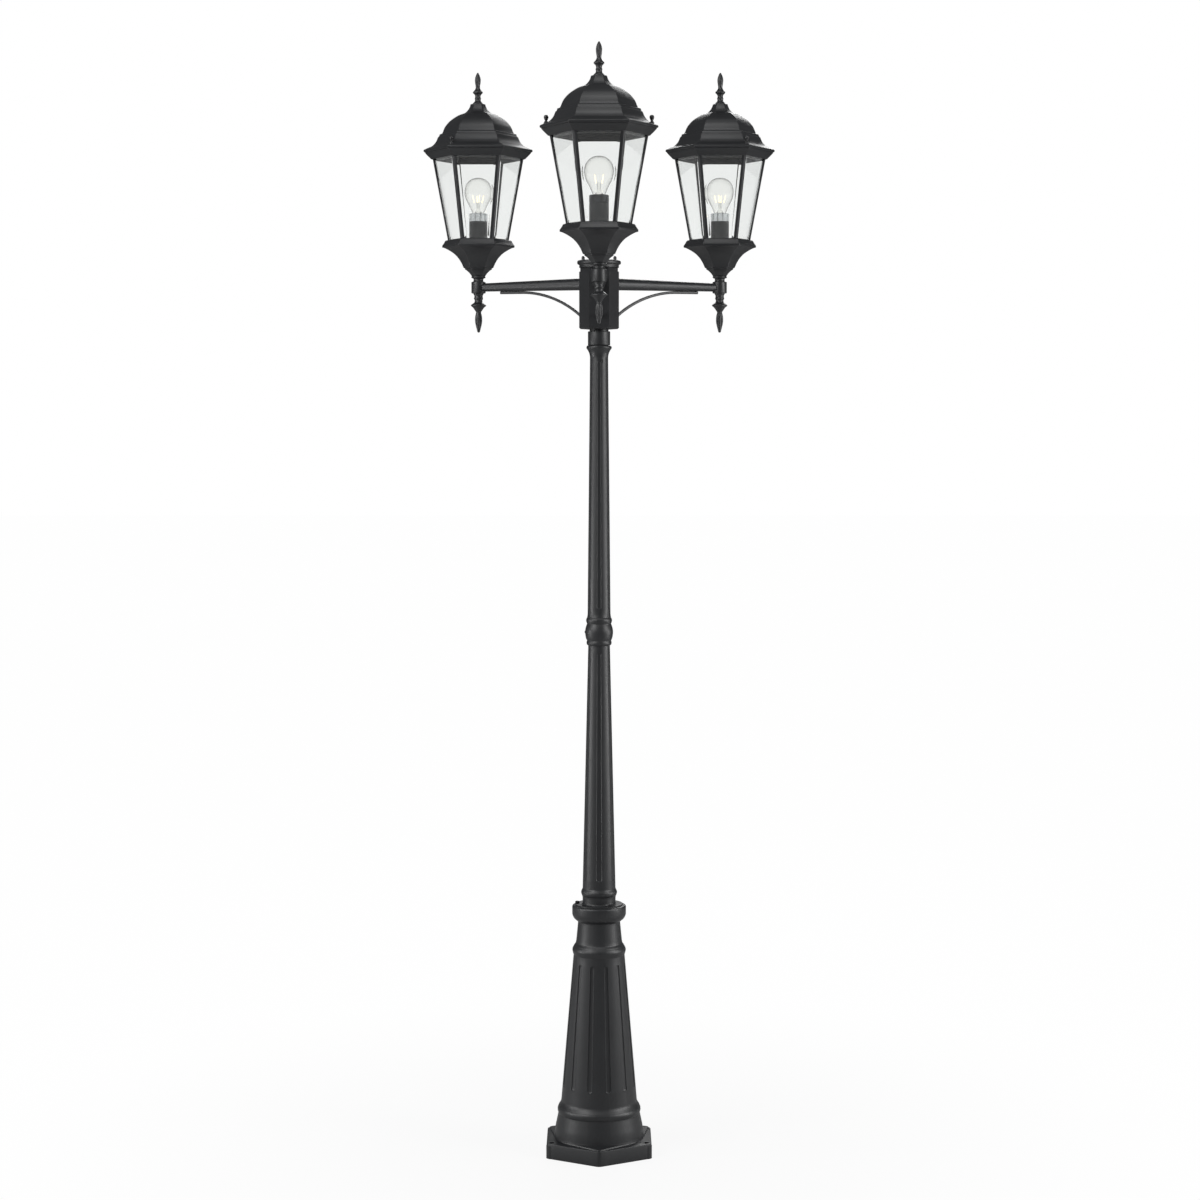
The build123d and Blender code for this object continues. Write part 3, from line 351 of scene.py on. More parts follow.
def skinned(name, rings, closed=False):
    # joins rings of points into a mesh; a ring of one point is a pole
    verts, faces, starts = [], [], []
    for ring in rings:
        starts.append(len(verts))
        verts.extend(Vector(p) * mm for p in ring)
    pairs = list(zip(range(len(rings) - 1), range(1, len(rings))))
    if closed:
        pairs.append((len(rings) - 1, 0))
    for low, high in pairs:
        a, b, na, nb = starts[low], starts[high], len(rings[low]), len(rings[high])
        if na == nb == 1:
            continue
        for i in range(max(na, nb)):
            j = (i + 1) % max(na, nb)
            if na == 1:
                faces.append((a, b + j, b + i))
            elif nb == 1:
                faces.append((a + i, a + j, b))
            else:
                faces.append((a + i, a + j, b + j, b + i))
    mesh = bpy.data.meshes.new(name)
    mesh.from_pydata(verts, [], faces)
    mesh.update()
    return mesh


ribMiddle = 0.6  # where a rib's swell crosses the plain radius


def roundRings(outline, around, ribs=None):
    # rings of a turned piece; ribs = (count, share of the radius, low, high) swells them lengthwise
    rings = []
    for radius, height in outline:
        if radius < 0.01:
            rings.append([(0, 0, height)])
            continue
        ring = []
        for i in range(around):
            turn = 2 * math.pi * i / around
            swell = 1
            if ribs and ribs[2] < height < ribs[3]:
                ease = math.sin(math.pi * (height - ribs[2]) / (ribs[3] - ribs[2])) ** 0.5
                swell += ribs[1] * ease * (abs(math.cos(ribs[0] * turn / 2)) - ribMiddle)
            ring.append(polar(radius * swell, turn, height))
        rings.append(ring)
    return rings


def hexRing(flat, height, rounding=1.2, firstCorner=30, sideSteps=0):
    if flat < 0.01:
        return [(0, 0, height)]
    rounding = min(rounding, flat * 0.6)
    reach = (flat - rounding) / math.cos(math.radians(30))
    corners = []
    for k in range(6):
        middle = math.radians(firstCorner + 60 * k)
        centre = polar(reach, middle, height)
        corners.append([centre + polar(rounding, middle + math.radians(20 * j - 30), 0) for j in range(4)])
    ring = []
    for k in range(6):
        ring.extend(corners[k])
        start, end = corners[k][-1], corners[(k + 1) % 6][0]
        ring.extend(start.lerp(end, (s + 1) / (sideSteps + 1)) for s in range(sideSteps))
    return ring


def lathe(name, outline, around=64, closed=False, ribs=None):
    return skinned(name, roundRings(traced(outline), around, ribs), closed)


def hexLathe(name, outline, rounding=1.2, firstCorner=30, closed=True):
    return skinned(name, [hexRing(f, z, rounding, firstCorner) for f, z in traced(outline)], closed)


def asObject(mesh, place=Matrix.Identity(4)):
    # puts the place into the mesh, so that the object itself stays at the origin
    mesh.transform(place)
    thing = bpy.data.objects.new(mesh.name, mesh)
    bpy.context.collection.objects.link(thing)
    return thing


def joined(name, meshes):
    verts, faces, marks = [], [], []
    materials = []
    for mesh in meshes:
        start = len(verts)
        verts.extend(tuple(v.co) for v in mesh.vertices)
        own = mesh.materials[0] if mesh.materials else None
        if own not in materials:
            materials.append(own)
        for face in mesh.polygons:
            faces.append(tuple(start + i for i in face.vertices))
            marks.append(materials.index(own))
    whole = bpy.data.meshes.new(name)
    whole.from_pydata(verts, [], faces)
    whole.polygons.foreach_set("material_index", marks)
    for material in materials:
        if material:
            whole.materials.append(material)
    whole.update()
    return whole


def coated(mesh, material):
    mesh.materials.clear()
    mesh.materials.append(finish[material])
    mesh.polygons.foreach_set("material_index", [0] * len(mesh.polygons))
    return mesh


def outwards(mesh):
    work = bmesh.new()
    work.from_mesh(mesh)
    bmesh.ops.remove_doubles(work, verts=work.verts, dist=1e-7)
    bmesh.ops.recalc_face_normals(work, faces=work.faces)
    work.to_mesh(mesh)
    work.free()
    return mesh


def softened(piece, width, segments, sharp):
    bevel = piece.modifiers.new("softEdges", "BEVEL")
    bevel.width, bevel.segments = width * mm, segments
    bevel.limit_method, bevel.angle_limit = "ANGLE", math.radians(sharp)
    bevel.use_clamp_overlap = True


def finished(mesh, place=Matrix.Identity(4), edge=0.6, sharp=34):
    # a piece with recalculated normals, softened edges and smooth shading
    outwards(mesh)
    piece = asObject(mesh, place)
    if edge:
        softened(piece, edge, 2, sharp)
    mesh.shade_smooth()
    mesh.set_sharp_from_angle(angle=math.radians(60 if edge else sharp))
    return piece


def attach(piece, body, slot, *nodes):
    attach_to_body(piece, body)
    if nodes:
        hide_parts(*nodes)


def headPlace(head):
    return Matrix.Rotation(math.radians(headTurns[head]), 4, "Z")


def lanternPlace(head, offset=(0, 0)):
    return headPlace(head) @ Matrix.Translation(Vector((armReach + offset[0], offset[1], 0)) * mm)


def repeatRoundTree():
    # copies a mesh evenly round the upright axis
    tree = bpy.data.node_groups.new("repeatRound", "GeometryNodeTree")
    face = tree.interface
    face.new_socket("Geometry", in_out="INPUT", socket_type="NodeSocketGeometry")
    face.new_socket("Copies", in_out="INPUT", socket_type="NodeSocketInt")
    face.new_socket("First turn", in_out="INPUT", socket_type="NodeSocketFloat")
    face.new_socket("Finish", in_out="INPUT", socket_type="NodeSocketMaterial")
    face.new_socket("Geometry", in_out="OUTPUT", socket_type="NodeSocketGeometry")
    make, link = tree.nodes.new, tree.links.new
    source, out = make("NodeGroupInput"), make("NodeGroupOutput")
    line, index = make("GeometryNodeMeshLine"), make("GeometryNodeInputIndex")
    line.inputs["Offset"].default_value = (0, 0, 0)
    share, full, turn = (make("ShaderNodeMath") for _ in range(3))
    share.operation, full.operation, turn.operation = "DIVIDE", "MULTIPLY", "ADD"
    full.inputs[1].default_value = 2 * math.pi
    upright, spin = make("ShaderNodeCombineXYZ"), make("FunctionNodeEulerToRotation")
    copies, real = make("GeometryNodeInstanceOnPoints"), make("GeometryNodeRealizeInstances")
    dress = make("GeometryNodeSetMaterial")
    link(source.outputs["Copies"], line.inputs["Count"])
    link(index.outputs[0], share.inputs[0])
    link(source.outputs["Copies"], share.inputs[1])
    link(share.outputs[0], full.inputs[0])
    link(full.outputs[0], turn.inputs[0])
    link(source.outputs["First turn"], turn.inputs[1])
    link(turn.outputs[0], upright.inputs["Z"])
    link(upright.outputs[0], spin.inputs[0])
    link(line.outputs["Mesh"], copies.inputs["Points"])
    link(source.outputs["Geometry"], copies.inputs["Instance"])
    link(spin.outputs[0], copies.inputs["Rotation"])
    link(copies.outputs["Instances"], real.inputs["Geometry"])
    link(real.outputs["Geometry"], dress.inputs["Geometry"])
    link(source.outputs["Finish"], dress.inputs["Material"])
    link(dress.outputs["Geometry"], out.inputs["Geometry"])
    return tree


repeatRound = repeatRoundTree()


def repeated(mesh, copies, firstTurn, material):
    # runs the repeatRound nodes on a mesh and returns the result as a plain mesh
    source = bpy.data.objects.new(mesh.name, mesh)
    bpy.context.collection.objects.link(source)
    nodes = source.modifiers.new("repeatRound", "NODES")
    nodes.node_group = repeatRound
    values = {"Copies": copies, "First turn": math.radians(firstTurn), "Finish": finish[material]}
    for item in repeatRound.interface.items_tree:
        if item.in_out == "INPUT" and item.name in values:
            nodes[item.identifier] = values[item.name]
    graph = bpy.context.evaluated_depsgraph_get()
    graph.update()
    result = bpy.data.meshes.new_from_object(source.evaluated_get(graph), depsgraph=graph)
    bpy.data.objects.remove(source)
    result.name = mesh.name
    return coated(result, material)


def withFaces(mesh, faces):
    whole = bpy.data.meshes.new(mesh.name)
    whole.from_pydata([tuple(v.co) for v in mesh.vertices], [], [tuple(f.vertices) for f in mesh.polygons] + faces)
    whole.update()
    return whole


def cutFrom(mesh, cutters):
    # drills the cutters' shapes out of a closed mesh and returns the result
    body = bpy.data.objects.new("drilled", mesh)
    bpy.context.collection.objects.link(body)
    tools = []
    for cutter in cutters:
        tool = bpy.data.objects.new("drill", outwards(cutter))
        bpy.context.collection.objects.link(tool)
        cut = body.modifiers.new("cut", "BOOLEAN")
        cut.operation, cut.object, cut.solver = "DIFFERENCE", tool, "EXACT"
        tools.append(tool)
    graph = bpy.context.evaluated_depsgraph_get()
    graph.update()
    result = bpy.data.meshes.new_from_object(body.evaluated_get(graph), depsgraph=graph)
    for thing in [body, *tools]:
        bpy.data.objects.remove(thing)
    result.name = mesh.name
    return result


def rod(name, radius, low, high, spot=(0, 0), around=32):
    mesh = lathe(name, [(0, low), (radius, low), (radius, high), (0, high)], around)
    mesh.transform(Matrix.Translation(Vector((*spot, 0)) * mm))
    return mesh


acrossSteps = 6  # half the width of a flute
endSteps = 8  # rows in the round end of a flute
closedSpread = 0.04  # share of its width that a flute keeps where it is closed


def flutedRings(outline, flutes, inner=()):
    # rings round the post whose points follow the edges of its round-ended flutes
    pitch = 2 * math.pi / flutes["count"]
    across = [i / acrossSteps - 1 for i in range(2 * acrossSteps + 1)]
    rows = traced(outline)
    low, high, end = flutes["low"], flutes["high"], flutes["end"]

    def radiusAt(height):
        for (r0, z0), (r1, z1) in zip(rows, rows[1:]):
            if z0 <= height <= z1 and z1 > z0:
                return r0 + (r1 - r0) * (height - z0) / (z1 - z0)
        return rows[-1][0]

    def row(height, opening):
        return radiusAt(height), height, math.sqrt(max(0, 1 - opening**2))

    span, count = high - low - 2 * end, flutes["rows"]
    starts = [low + end * (1 - math.cos(math.pi / 2 * i / endSteps)) for i in range(endSteps + 1)]
    stops = [high - end + end * math.sin(math.pi / 2 * i / endSteps) for i in range(endSteps + 1)]
    levelled = [row(z, (low + end - z) / end) for z in starts]
    levelled += [row(low + end + span * i / count, 0) for i in range(1, count)]
    levelled += [row(z, (z - high + end) / end) for z in stops]
    below = [(r, z, 0) for r, z in rows if z <= low - 0.1]
    above = [(r, z, 0) for r, z in rows if z >= high + 0.1]
    rings = []
    for radius, height, openness in below + levelled + above + [(r, z, -1) for r, z in inner]:
        half = flutes["spread"] * (1 if openness < 0 else max(openness, closedSpread))
        ring = []
        for k in range(flutes["count"]):
            centre = math.radians(flutes["firstTurn"]) + k * pitch
            for u in across:
                dip = flutes["depth"] * openness * math.sqrt(max(0, 1 - u**4)) if openness > 0 else 0
                ring.append(polar(radius - dip, centre + half * u, height))
            gap = pitch - 2 * half
            lands = flutes["lands"]
            ring.extend(polar(radius, centre + half + gap * s / lands, height) for s in range(1, lands))
        rings.append(ring)
    return rings


pedestalSizes = {
    "outline": [
        (98, 34), (98, 36.4), [(97.6, 37.6), (95.8, 55), (93.1, 68.4), (89.3, 86.6)],
        [(89.3, 86.8), (90.2, 88.8), (91.0, 92.4), (91.1, 95.6), (90.3, 98.8), (88.9, 101.6)],
        [(88.9, 102.2), (87.4, 104.6), (85.0, 108.6), (83.4, 112.6), (82.9, 116)],
        (55.9, 436.6), [(55.9, 437), (57.2, 441.4), (58.4, 446), (58.4, 448.8), (57.2, 452.8), (54.8, 456.8)],
        [(54.6, 457.6), (53.0, 459.8), (51.2, 462.4), (50.4, 466)],
        [(50.0, 468), (48.2, 486), (46.6, 503), (46.1, 509.4)],
        [(46.4, 510.6), (50.0, 513.4), (54.6, 517.4), (57.4, 522.4), (58.8, 527)],
        (58.8, 542), [(58.6, 543.2), (57.6, 545.2), (56.0, 546)], (31.2, 546),
    ],
    "inner": [(31.2, 534), (41.5, 534), (41.5, 464), (51.3, 438), (78.8, 113), (93.5, 34)],
    "flutes": {
        "count": 12, "firstTurn": 15, "spread": 0.0715, "depth": 2.3,
        "low": 146, "high": 421, "end": 5.6, "rows": 14, "lands": 5,
    },
    "plateFlat": 114.3, "plateRounding": 12, "plateTop": 33, "wall": 5, "roof": 5,
    # the pad's rings as (distance in from its edge, level), from its foot up
    "padFoot": [(-0.8, 32.4), (0, 33.8)], "padEdge": [(0.08, 34.75), (0.34, 35.38), (0.8, 35.78), (1.5, 36)],
    "padTip": 118, "padTipRadius": 8, "padTop": 36, "padRadius": 98.6, "padUnder": 33.2, "padSteps": 180,
    "hollowRadius": 94.5, "plateEdge": [(1.4, 0), (0.4, 0.4), (0, 1.4)], "hollowRounding": 8, "bossRadius": 12,
    "boltCircle": 119, "boltRadius": 6.25, "boltTurns": (-30, 90, 210),
}


def padReach(turn):
    # edge of the raised pad: straight sides between the round foot and the tips at three corners
    big, small, away = pedestalSizes["padRadius"], pedestalSizes["padTipRadius"], pedestalSizes["padTip"]
    # angle from the nearest tip
    off = math.radians(abs((math.degrees(turn) + 150) % 120 - 60))
    lean = math.acos((big - small) / away)
    tipOff = math.atan2(small * math.sin(lean), away + small * math.cos(lean))
    if off >= lean:
        return big
    if off >= tipOff:
        return big / math.cos(off - lean)
    return away * math.cos(off) + math.sqrt(max(0, small**2 - (away * math.sin(off)) ** 2))


def makePedestal():
    p = pedestalSizes
    body = skinned("pedestalBody", flutedRings(p["outline"], p["flutes"], p["inner"]), closed=True)
    turns = [2 * math.pi * i / p["padSteps"] for i in range(p["padSteps"])]
    pad = skinned("pad", [
        [polar(p["hollowRadius"], t, p["padUnder"]) for t in turns],
        *[[polar(padReach(t) - back, t, level) for t in turns] for back, level in p["padFoot"] + p["padEdge"]],
        [polar(p["hollowRadius"], t, p["padTop"]) for t in turns],
    ], closed=True)
    side = {"firstCorner": 30, "sideSteps": 8}
    flat, top = p["plateFlat"], p["plateTop"]
    inside = flat - p["wall"]
    lip = hexRing(inside, top - p["roof"], p["hollowRounding"], **side)
    plate = skinned("plate", [
        [polar(p["hollowRadius"], math.atan2(v[1], v[0]), top) for v in lip],
        *[hexRing(flat - back, top - down, p["plateRounding"], **side) for back, down in p["plateEdge"]],
        hexRing(flat, 0, p["plateRounding"], **side),
        hexRing(inside, 0, p["hollowRounding"], **side),
        lip,
        [polar(p["hollowRadius"], math.atan2(v[1], v[0]), top - p["roof"]) for v in lip],
    ], closed=True)
    spots = [polar(p["boltCircle"], math.radians(t), 0)[:2] for t in p["boltTurns"]]
    plate = cutFrom(outwards(plate), [rod("drill", p["boltRadius"], -5, 40, spot) for spot in spots])
    bosses = []
    for spot in spots:
        hole, outer, roof = p["boltRadius"], p["bossRadius"], top - p["roof"]
        boss = lathe("boss", [(hole, 0), (outer, 0), (outer, roof), (hole, roof)], around=40, closed=True)
        boss.transform(Matrix.Translation(Vector((*spot, 0)) * mm))
        bosses.append(boss)
    bodyPiece = finished(joined("pedestalBody", [coated(outwards(body), "blackCoat")]), edge=0, sharp=26)
    plateParts = [coated(m, "blackCoat") for m in [outwards(pad), plate, *map(outwards, bosses)]]
    platePiece = finished(joined("pedestalPlate", plateParts), edge=0.5)
    attach(bodyPiece, "post", "black_coat", "pedestal")
    attach(platePiece, "post", "black_coat", "pedestal")


shaftSizes = {
    "lower": {
        "outline": [
            (31, 534), (31, 546), (52, 546), (52, 548.6), (51.6, 549), (37.4, 549),
            [(37.4, 549.2), (36.1, 552), (36.1, 562), (36.5, 565)],
            [(36.5, 566), (37.8, 568.6), (39.0, 572), (39.2, 575), (38.7, 577.6), (37.2, 580.6), (35.9, 583.6)],
            (35.9, 584.2), (23.6, 1112), (23.5, 1115),
        ],
        "inner": [(18.9, 1115), (18.9, 1070), (32, 583), (27.2, 566), (27.2, 534)],
        "flutes": {
            "count": 6, "firstTurn": 30, "spread": 0.185, "depth": 1.5,
            "low": 602, "high": 1101, "end": 5, "rows": 20, "lands": 8,
        },
    },
    "upper": {
        "outline": [
            (26, 1176), [(26, 1176.2), (25.4, 1179.4), (24.8, 1184)],
            (19.6, 1736), [(19.6, 1736.2), (19.9, 1741), (21.2, 1747), (23.4, 1752), (25.6, 1755.6)],
            [(25.8, 1755.8), (27.0, 1757.6), (27.3, 1760), (26.4, 1762.4), (24.4, 1764)],
        ],
        "inner": [(16.1, 1764), (16.1, 1717.7), (18.9, 1221.3), (18.9, 1176)],
        "flutes": {
            "count": 6, "firstTurn": 30, "spread": 0.19, "depth": 1.15,
            "low": 1196, "high": 1731, "end": 4.4, "rows": 20, "lands": 8,
        },
    },
    "coupling": [
        (15, 1070), (18.8, 1070), (18.8, 1115.1), (23.6, 1115.1),
        [(23.8, 1115.3), (26.2, 1117.2), (27.2, 1120.4), (27.0, 1123.4), (26.3, 1125.8)],
        [(26.4, 1126.4), (28.2, 1130.4), (29.5, 1136), (30.3, 1143.6), (29.9, 1150), (28.4, 1156.4), (26.3, 1162.4)],
        [(26.3, 1163.2), (27.5, 1166.2), (28.1, 1169.6), (27.6, 1173.2), (26.1, 1175.9)],
        (18.8, 1175.9), (18.8, 1221), (15, 1221),
    ],
    "screwHole": {"radius": 3, "length": 40, "level": 1730, "turn": -71},
    "sleeve": [(16.1, 1764.2), (23.4, 1764.2), (24, 1765), (24, 1793.2), (23.4, 1794), (16.1, 1794)],
}


def makePost():
    for which in ("lower", "upper"):
        sizes = shaftSizes[which]
        rings = flutedRings(sizes["outline"], sizes["flutes"], sizes["inner"])
        mesh = coated(outwards(skinned(f"{which}ShaftFluted", rings, closed=True)), "blackCoat")
        if which == "upper":
            hole = shaftSizes["screwHole"]
            drill = rod("drill", hole["radius"], 0, hole["length"])
            sideways = Matrix.Rotation(math.radians(hole["turn"]), 4, "Z") @ Matrix.Rotation(math.radians(90), 4, "Y")
            drill.transform(Matrix.Translation((0, 0, hole["level"] * mm)) @ sideways)
            mesh = coated(cutFrom(mesh, [drill]), "blackCoat")
        attach(finished(mesh, edge=0, sharp=22), "post", "black_coat", f"{which}_shaft")
    coupling = coated(lathe("couplingTurned", shaftSizes["coupling"], around=96, closed=True), "blackCoat")
    attach(finished(coupling, edge=0.3), "post", "black_coat", "shaft_coupling")
    sleeve = coated(lathe("hubSleevePipe", shaftSizes["sleeve"], around=72, closed=True), "blackCoat")
    attach(finished(sleeve, edge=0.3), "post", "black_coat", "hub_sleeve")


makePedestal()
makePost()
print("stage: fluted post")

hubSizes = {
    "edge": 1.1, "level": 1896, "face": 37.07,
    "neck": [(17, 1794.1), (20.4, 1794.1), (20.4, 1799), (17, 1799)],
    "cap": [
        (0, 1925.3), (28, 1925.3), (28, 1930.3), (42.7, 1930.3), (42.7, 1936.4),
        [(43.2, 1936.8), (45.6, 1937.4), (46.8, 1938.9), (47, 1941)],
        [(47, 1941.4), (46.9, 1943.2), (46.0, 1945.0), (44, 1945.8)], (0, 1945.8),
    ],
    "capScrew": [
        (0, 1919.8), (2.4, 1919.8), (2.4, 1945.8), (4.2, 1945.8), (4.2, 1946.7), (3.5, 1947.2), (3.6, 1951.0),
        [(3.55, 1951.2), (3.35, 1952.6), (2.7, 1954.1), (1.6, 1955.2), (0.6, 1955.55), (0, 1955.6)],
    ],
    "capScrewReach": 34.2,
    "boltWasher": [(2.6, 549.05), (5.2, 549.05), (5.2, 549.9), (2.6, 549.9)],
    "boltHead": [(0, 539), (2.6, 539), (2.6, 549.8), (4.1, 549.8), (4.1, 553.6), (3.3, 554.4), (0, 554.4)],
    "boltReach": 47.5,
}

armSizes = {
    "rod": [
        (5.5, -13), (8, -13), (8, 0.1), (13.6, 0.1), (13.6, 2.4), [(13.5, 2.6), (13.1, 3.2), (12.9, 4.2)],
        (9.1, 256.5), (5.5, 256.5),
    ],
    "socket": [(5.2, 1883.5), (15.0, 1883.5), (15.7, 1884.3), (15.7, 1907.7), (15.0, 1908.5), (5.2, 1908.5)],
}
flatWithin = 1  # degrees between triangles that are one flat face


def bevelledCopy(name, node, width, sharp=28):
    # a merged copy of a CAD node whose edges get a soft round
    work = bmesh.new()
    work.from_mesh(frame["nodes"][node].data)
    bmesh.ops.remove_doubles(work, verts=work.verts, dist=1e-6)
    bmesh.ops.dissolve_limit(work, angle_limit=math.radians(flatWithin), verts=work.verts, edges=work.edges)
    mesh = bpy.data.meshes.new(name)
    work.to_mesh(mesh)
    work.free()
    piece = asObject(mesh)
    softened(piece, width, 3, sharp)
    mesh.shade_smooth()
    mesh.set_sharp_from_angle(angle=math.radians(sharp))
    return piece


def makeHub():
    s = hubSizes
    hub = bevelledCopy("hubBlock", "hub", s["edge"])
    coated(hub.data, "blackCoat")
    attach(hub, "post", "black_coat", "hub")
    neck = coated(lathe("hubNeck", s["neck"], around=64, closed=True), "blackCoat")
    attach(finished(neck, edge=0.2), "post", "black_coat", "hub")
    cap = coated(lathe("hubCapTurned", s["cap"], around=96), "blackCoat")
    attach(finished(cap, edge=0.35), "hub_cap_unit", "black_coat", "hub_cap")
    screw = lathe("capScrew", s["capScrew"], around=32)
    screw.transform(Matrix.Translation(Vector((s["capScrewReach"], 0, 0)) * mm))
    screws = repeated(outwards(screw), copies=2, firstTurn=0, material="blackScrew")
    attach(finished(screws, edge=0.15), "hub_cap_unit", "fastener_steel", "hub_cap_screws")
    head = hexLathe("boltHead", s["boltHead"], rounding=0.25, firstCorner=0, closed=False)
    washer = lathe("boltWasher", s["boltWasher"], around=32, closed=True)
    bolt = joined("bolt", [outwards(head), outwards(washer)])
    bolt.transform(Matrix.Translation(Vector((s["boltReach"], 0, 0)) * mm))
    bolts = repeated(bolt, copies=3, firstTurn=60, material="blackScrew")
    attach(finished(bolts, edge=0.15), "post", "fastener_steel", "shaft_bolts")


def makeArm(head):
    s = armSizes
    rodMesh = lathe("armRod", s["rod"], around=64, closed=True)
    hubFace = Matrix.Translation(Vector((hubSizes["face"], 0, hubSizes["level"])) * mm)
    rodMesh.transform(hubFace @ Matrix.Rotation(math.radians(90), 4, "Y"))
    socket = lathe("armSocket", s["socket"], around=64, closed=True)
    socket.transform(Matrix.Translation(Vector((armReach, 0, 0)) * mm))
    arm = coated(joined(f"{head}ArmRound", [outwards(rodMesh), outwards(socket)]), "blackCoat")
    attach(finished(arm, headPlace(head), edge=0.3), "post", "black_coat", f"{head}_arm")


# lantern parts are drawn about their own upright axis
lanternSizes = {
    "lowerFinial": [
        (0, 1883.4), (11.3, 1883.4), (11.3, 1882.2),
        [(11.0, 1881.6), (9.6, 1879), (9.2, 1877), (9.6, 1874), (10.2, 1871.4)],
        [(10.1, 1871), (9.0, 1869.4), (8.5, 1867.6), (8.8, 1865), (9.6, 1863.2), (12.4, 1861), (15.2, 1859.2)],
        [(15.3, 1859), (16.6, 1857.9), (16.9, 1856.7), (16.4, 1855.4), (15.2, 1854.5)],
        [(14.8, 1854.3), (12.2, 1851.8), (10.4, 1849.6), (8.2, 1846.2), (6.2, 1843.2), (5.6, 1841.4),
         (6.0, 1839.4), (6.8, 1836.6), (7.6, 1832), (7.9, 1827), (7.8, 1821), (7.0, 1815.5), (5.8, 1810),
         (4.7, 1806), (3.7, 1802), (2.9, 1799), (1.6, 1797.3), (0, 1797)],
    ],
    "lowerRibs": (6, 0.17, 1803, 1839),
    "topFinial": [
        (0, 2297.4), (11.3, 2297.4), (11.4, 2298.4),
        [(11.2, 2298.8), (9.3, 2301), (7.2, 2303.2), (6.4, 2306), (6.7, 2308.4), (7.1, 2310)],
        [(7.0, 2310.2), (6.2, 2312), (6.0, 2314), (6.4, 2316.4), (7.6, 2318.6), (9.6, 2320.4)],
        [(9.8, 2320.6), (10.7, 2321.8), (10.9, 2322.8), (10.6, 2324), (9.6, 2325)],
        [(9.4, 2325.1), (7.6, 2327.2), (6.0, 2329.6), (5.0, 2332), (4.8, 2334), (5.1, 2337), (5.8, 2341.5),
         (6.4, 2346.5), (6.5, 2350), (6.0, 2354), (4.9, 2358), (3.5, 2361.3), (2.1, 2364), (0.9, 2365.6),
         (0, 2365.8)],
    ],
    "topRibs": (6, 0.15, 2335.5, 2361),
    "panFoot": [
        (5.2, 1908.6), (11.9, 1908.6), (12, 1909.2),
        [(11.9, 1909.6), (11.0, 1911), (10.7, 1913), (11.2, 1915), (12.6, 1916.4)],
        [(12.8, 1916.6), (14.6, 1916.8), (15.5, 1917.8), (15.7, 1918.8), (15.5, 1919.9), (14.7, 1920.9)],
        (5.2, 1921.2),
    ],
    # flat distances of hexagonal sections
    "panBowl": [
        (4.6, 1920.9), (13.1, 1920.9),
        [(13.3, 1921.4), (15.1, 1924.6), (17.9, 1928.6), (22.2, 1933.2), (25.4, 1935.6)], (25.9, 1936),
        (25.9, 1938), (29.0, 1940),
        [(29.1, 1940.4), (31.4, 1946.8), (33.3, 1951.2), (36.8, 1957.8), (41.3, 1964.4), (47.3, 1971),
         (55.9, 1977.5), (62.8, 1981.7), (66.6, 1983.4)], (69.2, 1984), (69.45, 1984.5), (69.45, 1988.2),
        (69.0, 1988.8), [(68.6, 1989.4), (66.6, 1992.6), (65.2, 1995.2), (64.3, 1997.4)], (62.6, 1999.5),
        (59.75, 1999.5), (59.75, 1995), (53.7, 1995), (53.7, 1984.5),
        [(53.5, 1984), (46.0, 1976), (37.6, 1967), (30.4, 1953), (25.2, 1943)], (15.2, 1930), (4.6, 1930),
    ],
    "sill": [(50.2, 1995.1), (59.3, 1995.1), (59.3, 2000.2), (58.9, 2001), (50.6, 2001), (50.2, 2000.6)],
    "eave": [
        (90.0, 2177.2), [(90.2, 2177.6), (92.6, 2180.4), (96.0, 2184.2), (99.4, 2188.2), (101.4, 2191.0)],
        (101.75, 2192), (77.6, 2192), (77.6, 2174.2), (80.4, 2174.2), (80.4, 2182), (87.2, 2182),
        (86.2, 2177.2),
    ],
    "lid": [
        (98.8, 2192.3), (102.2, 2192.3), (103.3, 2193), (104.3, 2194.4), (104.2, 2197.2), (103.3, 2198.3),
        (102.4, 2198.7), [(102.2, 2198.8), (98.5, 2200.7), (94.2, 2202.9), (89.5, 2205), (86.4, 2207.3)],
        [(86.2, 2207.6), (82.7, 2211.7), (80.1, 2216), (78.3, 2220.4), (76.9, 2224.7)], (76.8, 2225),
        (74.8, 2226.9), (74.2, 2228), (73.4, 2231.3), (72.4, 2232), (68.8, 2233.3), (68.4, 2234),
        [(68.3, 2234.4), (66.8, 2238), (65.4, 2242.2), (63.2, 2247.6), (59.8, 2253), (54.6, 2259.6),
         (47.5, 2266), (38.4, 2272.4), (33.5, 2274.9)], (33.2, 2275),
        [(32.9, 2275.1), (27.8, 2277), (24.0, 2279), (19.8, 2283.6), (17.1, 2288), (15.5, 2292),
         (14.3, 2296.5)], (14.2, 2297.1), (13.6, 2297.3), (0, 2297.3), (0, 2271.6), (31.9, 2271.6),
        [(32.2, 2271.5), (44.6, 2264.4), (54.3, 2254.9), (60.4, 2245.0), (63.4, 2237.3)], (64.5, 2231.8),
        (70.2, 2225.3), (73.7, 2218.3), (73.7, 2186.3), (77.2, 2186.3), (77.2, 2203.8), (84.9, 2203.8),
        (98.8, 2195.9),
    ],
    "knobSeat": [(2.9, 2197), (5.2, 2197), (5.2, 2202.8), (4.6, 2203.5), (2.9, 2203.5)],
    "knob": [
        (0, 2186.8), (2.5, 2186.8), (2.5, 2203.6), (4.1, 2203.6), (4.2, 2204.4), (3.6, 2205.3),
        [(3.4, 2205.5), (2.8, 2206.4), (2.7, 2207.4), (2.9, 2208.4)], (3.6, 2209.0), (3.6, 2209.8),
        [(3.4, 2210), (4.2, 2211.2), (4.75, 2213.0), (4.8, 2214.4), (4.4, 2216.3), (3.3, 2217.8),
         (1.7, 2218.5), (0, 2218.65)],
    ],
    "knobReach": 107,
}
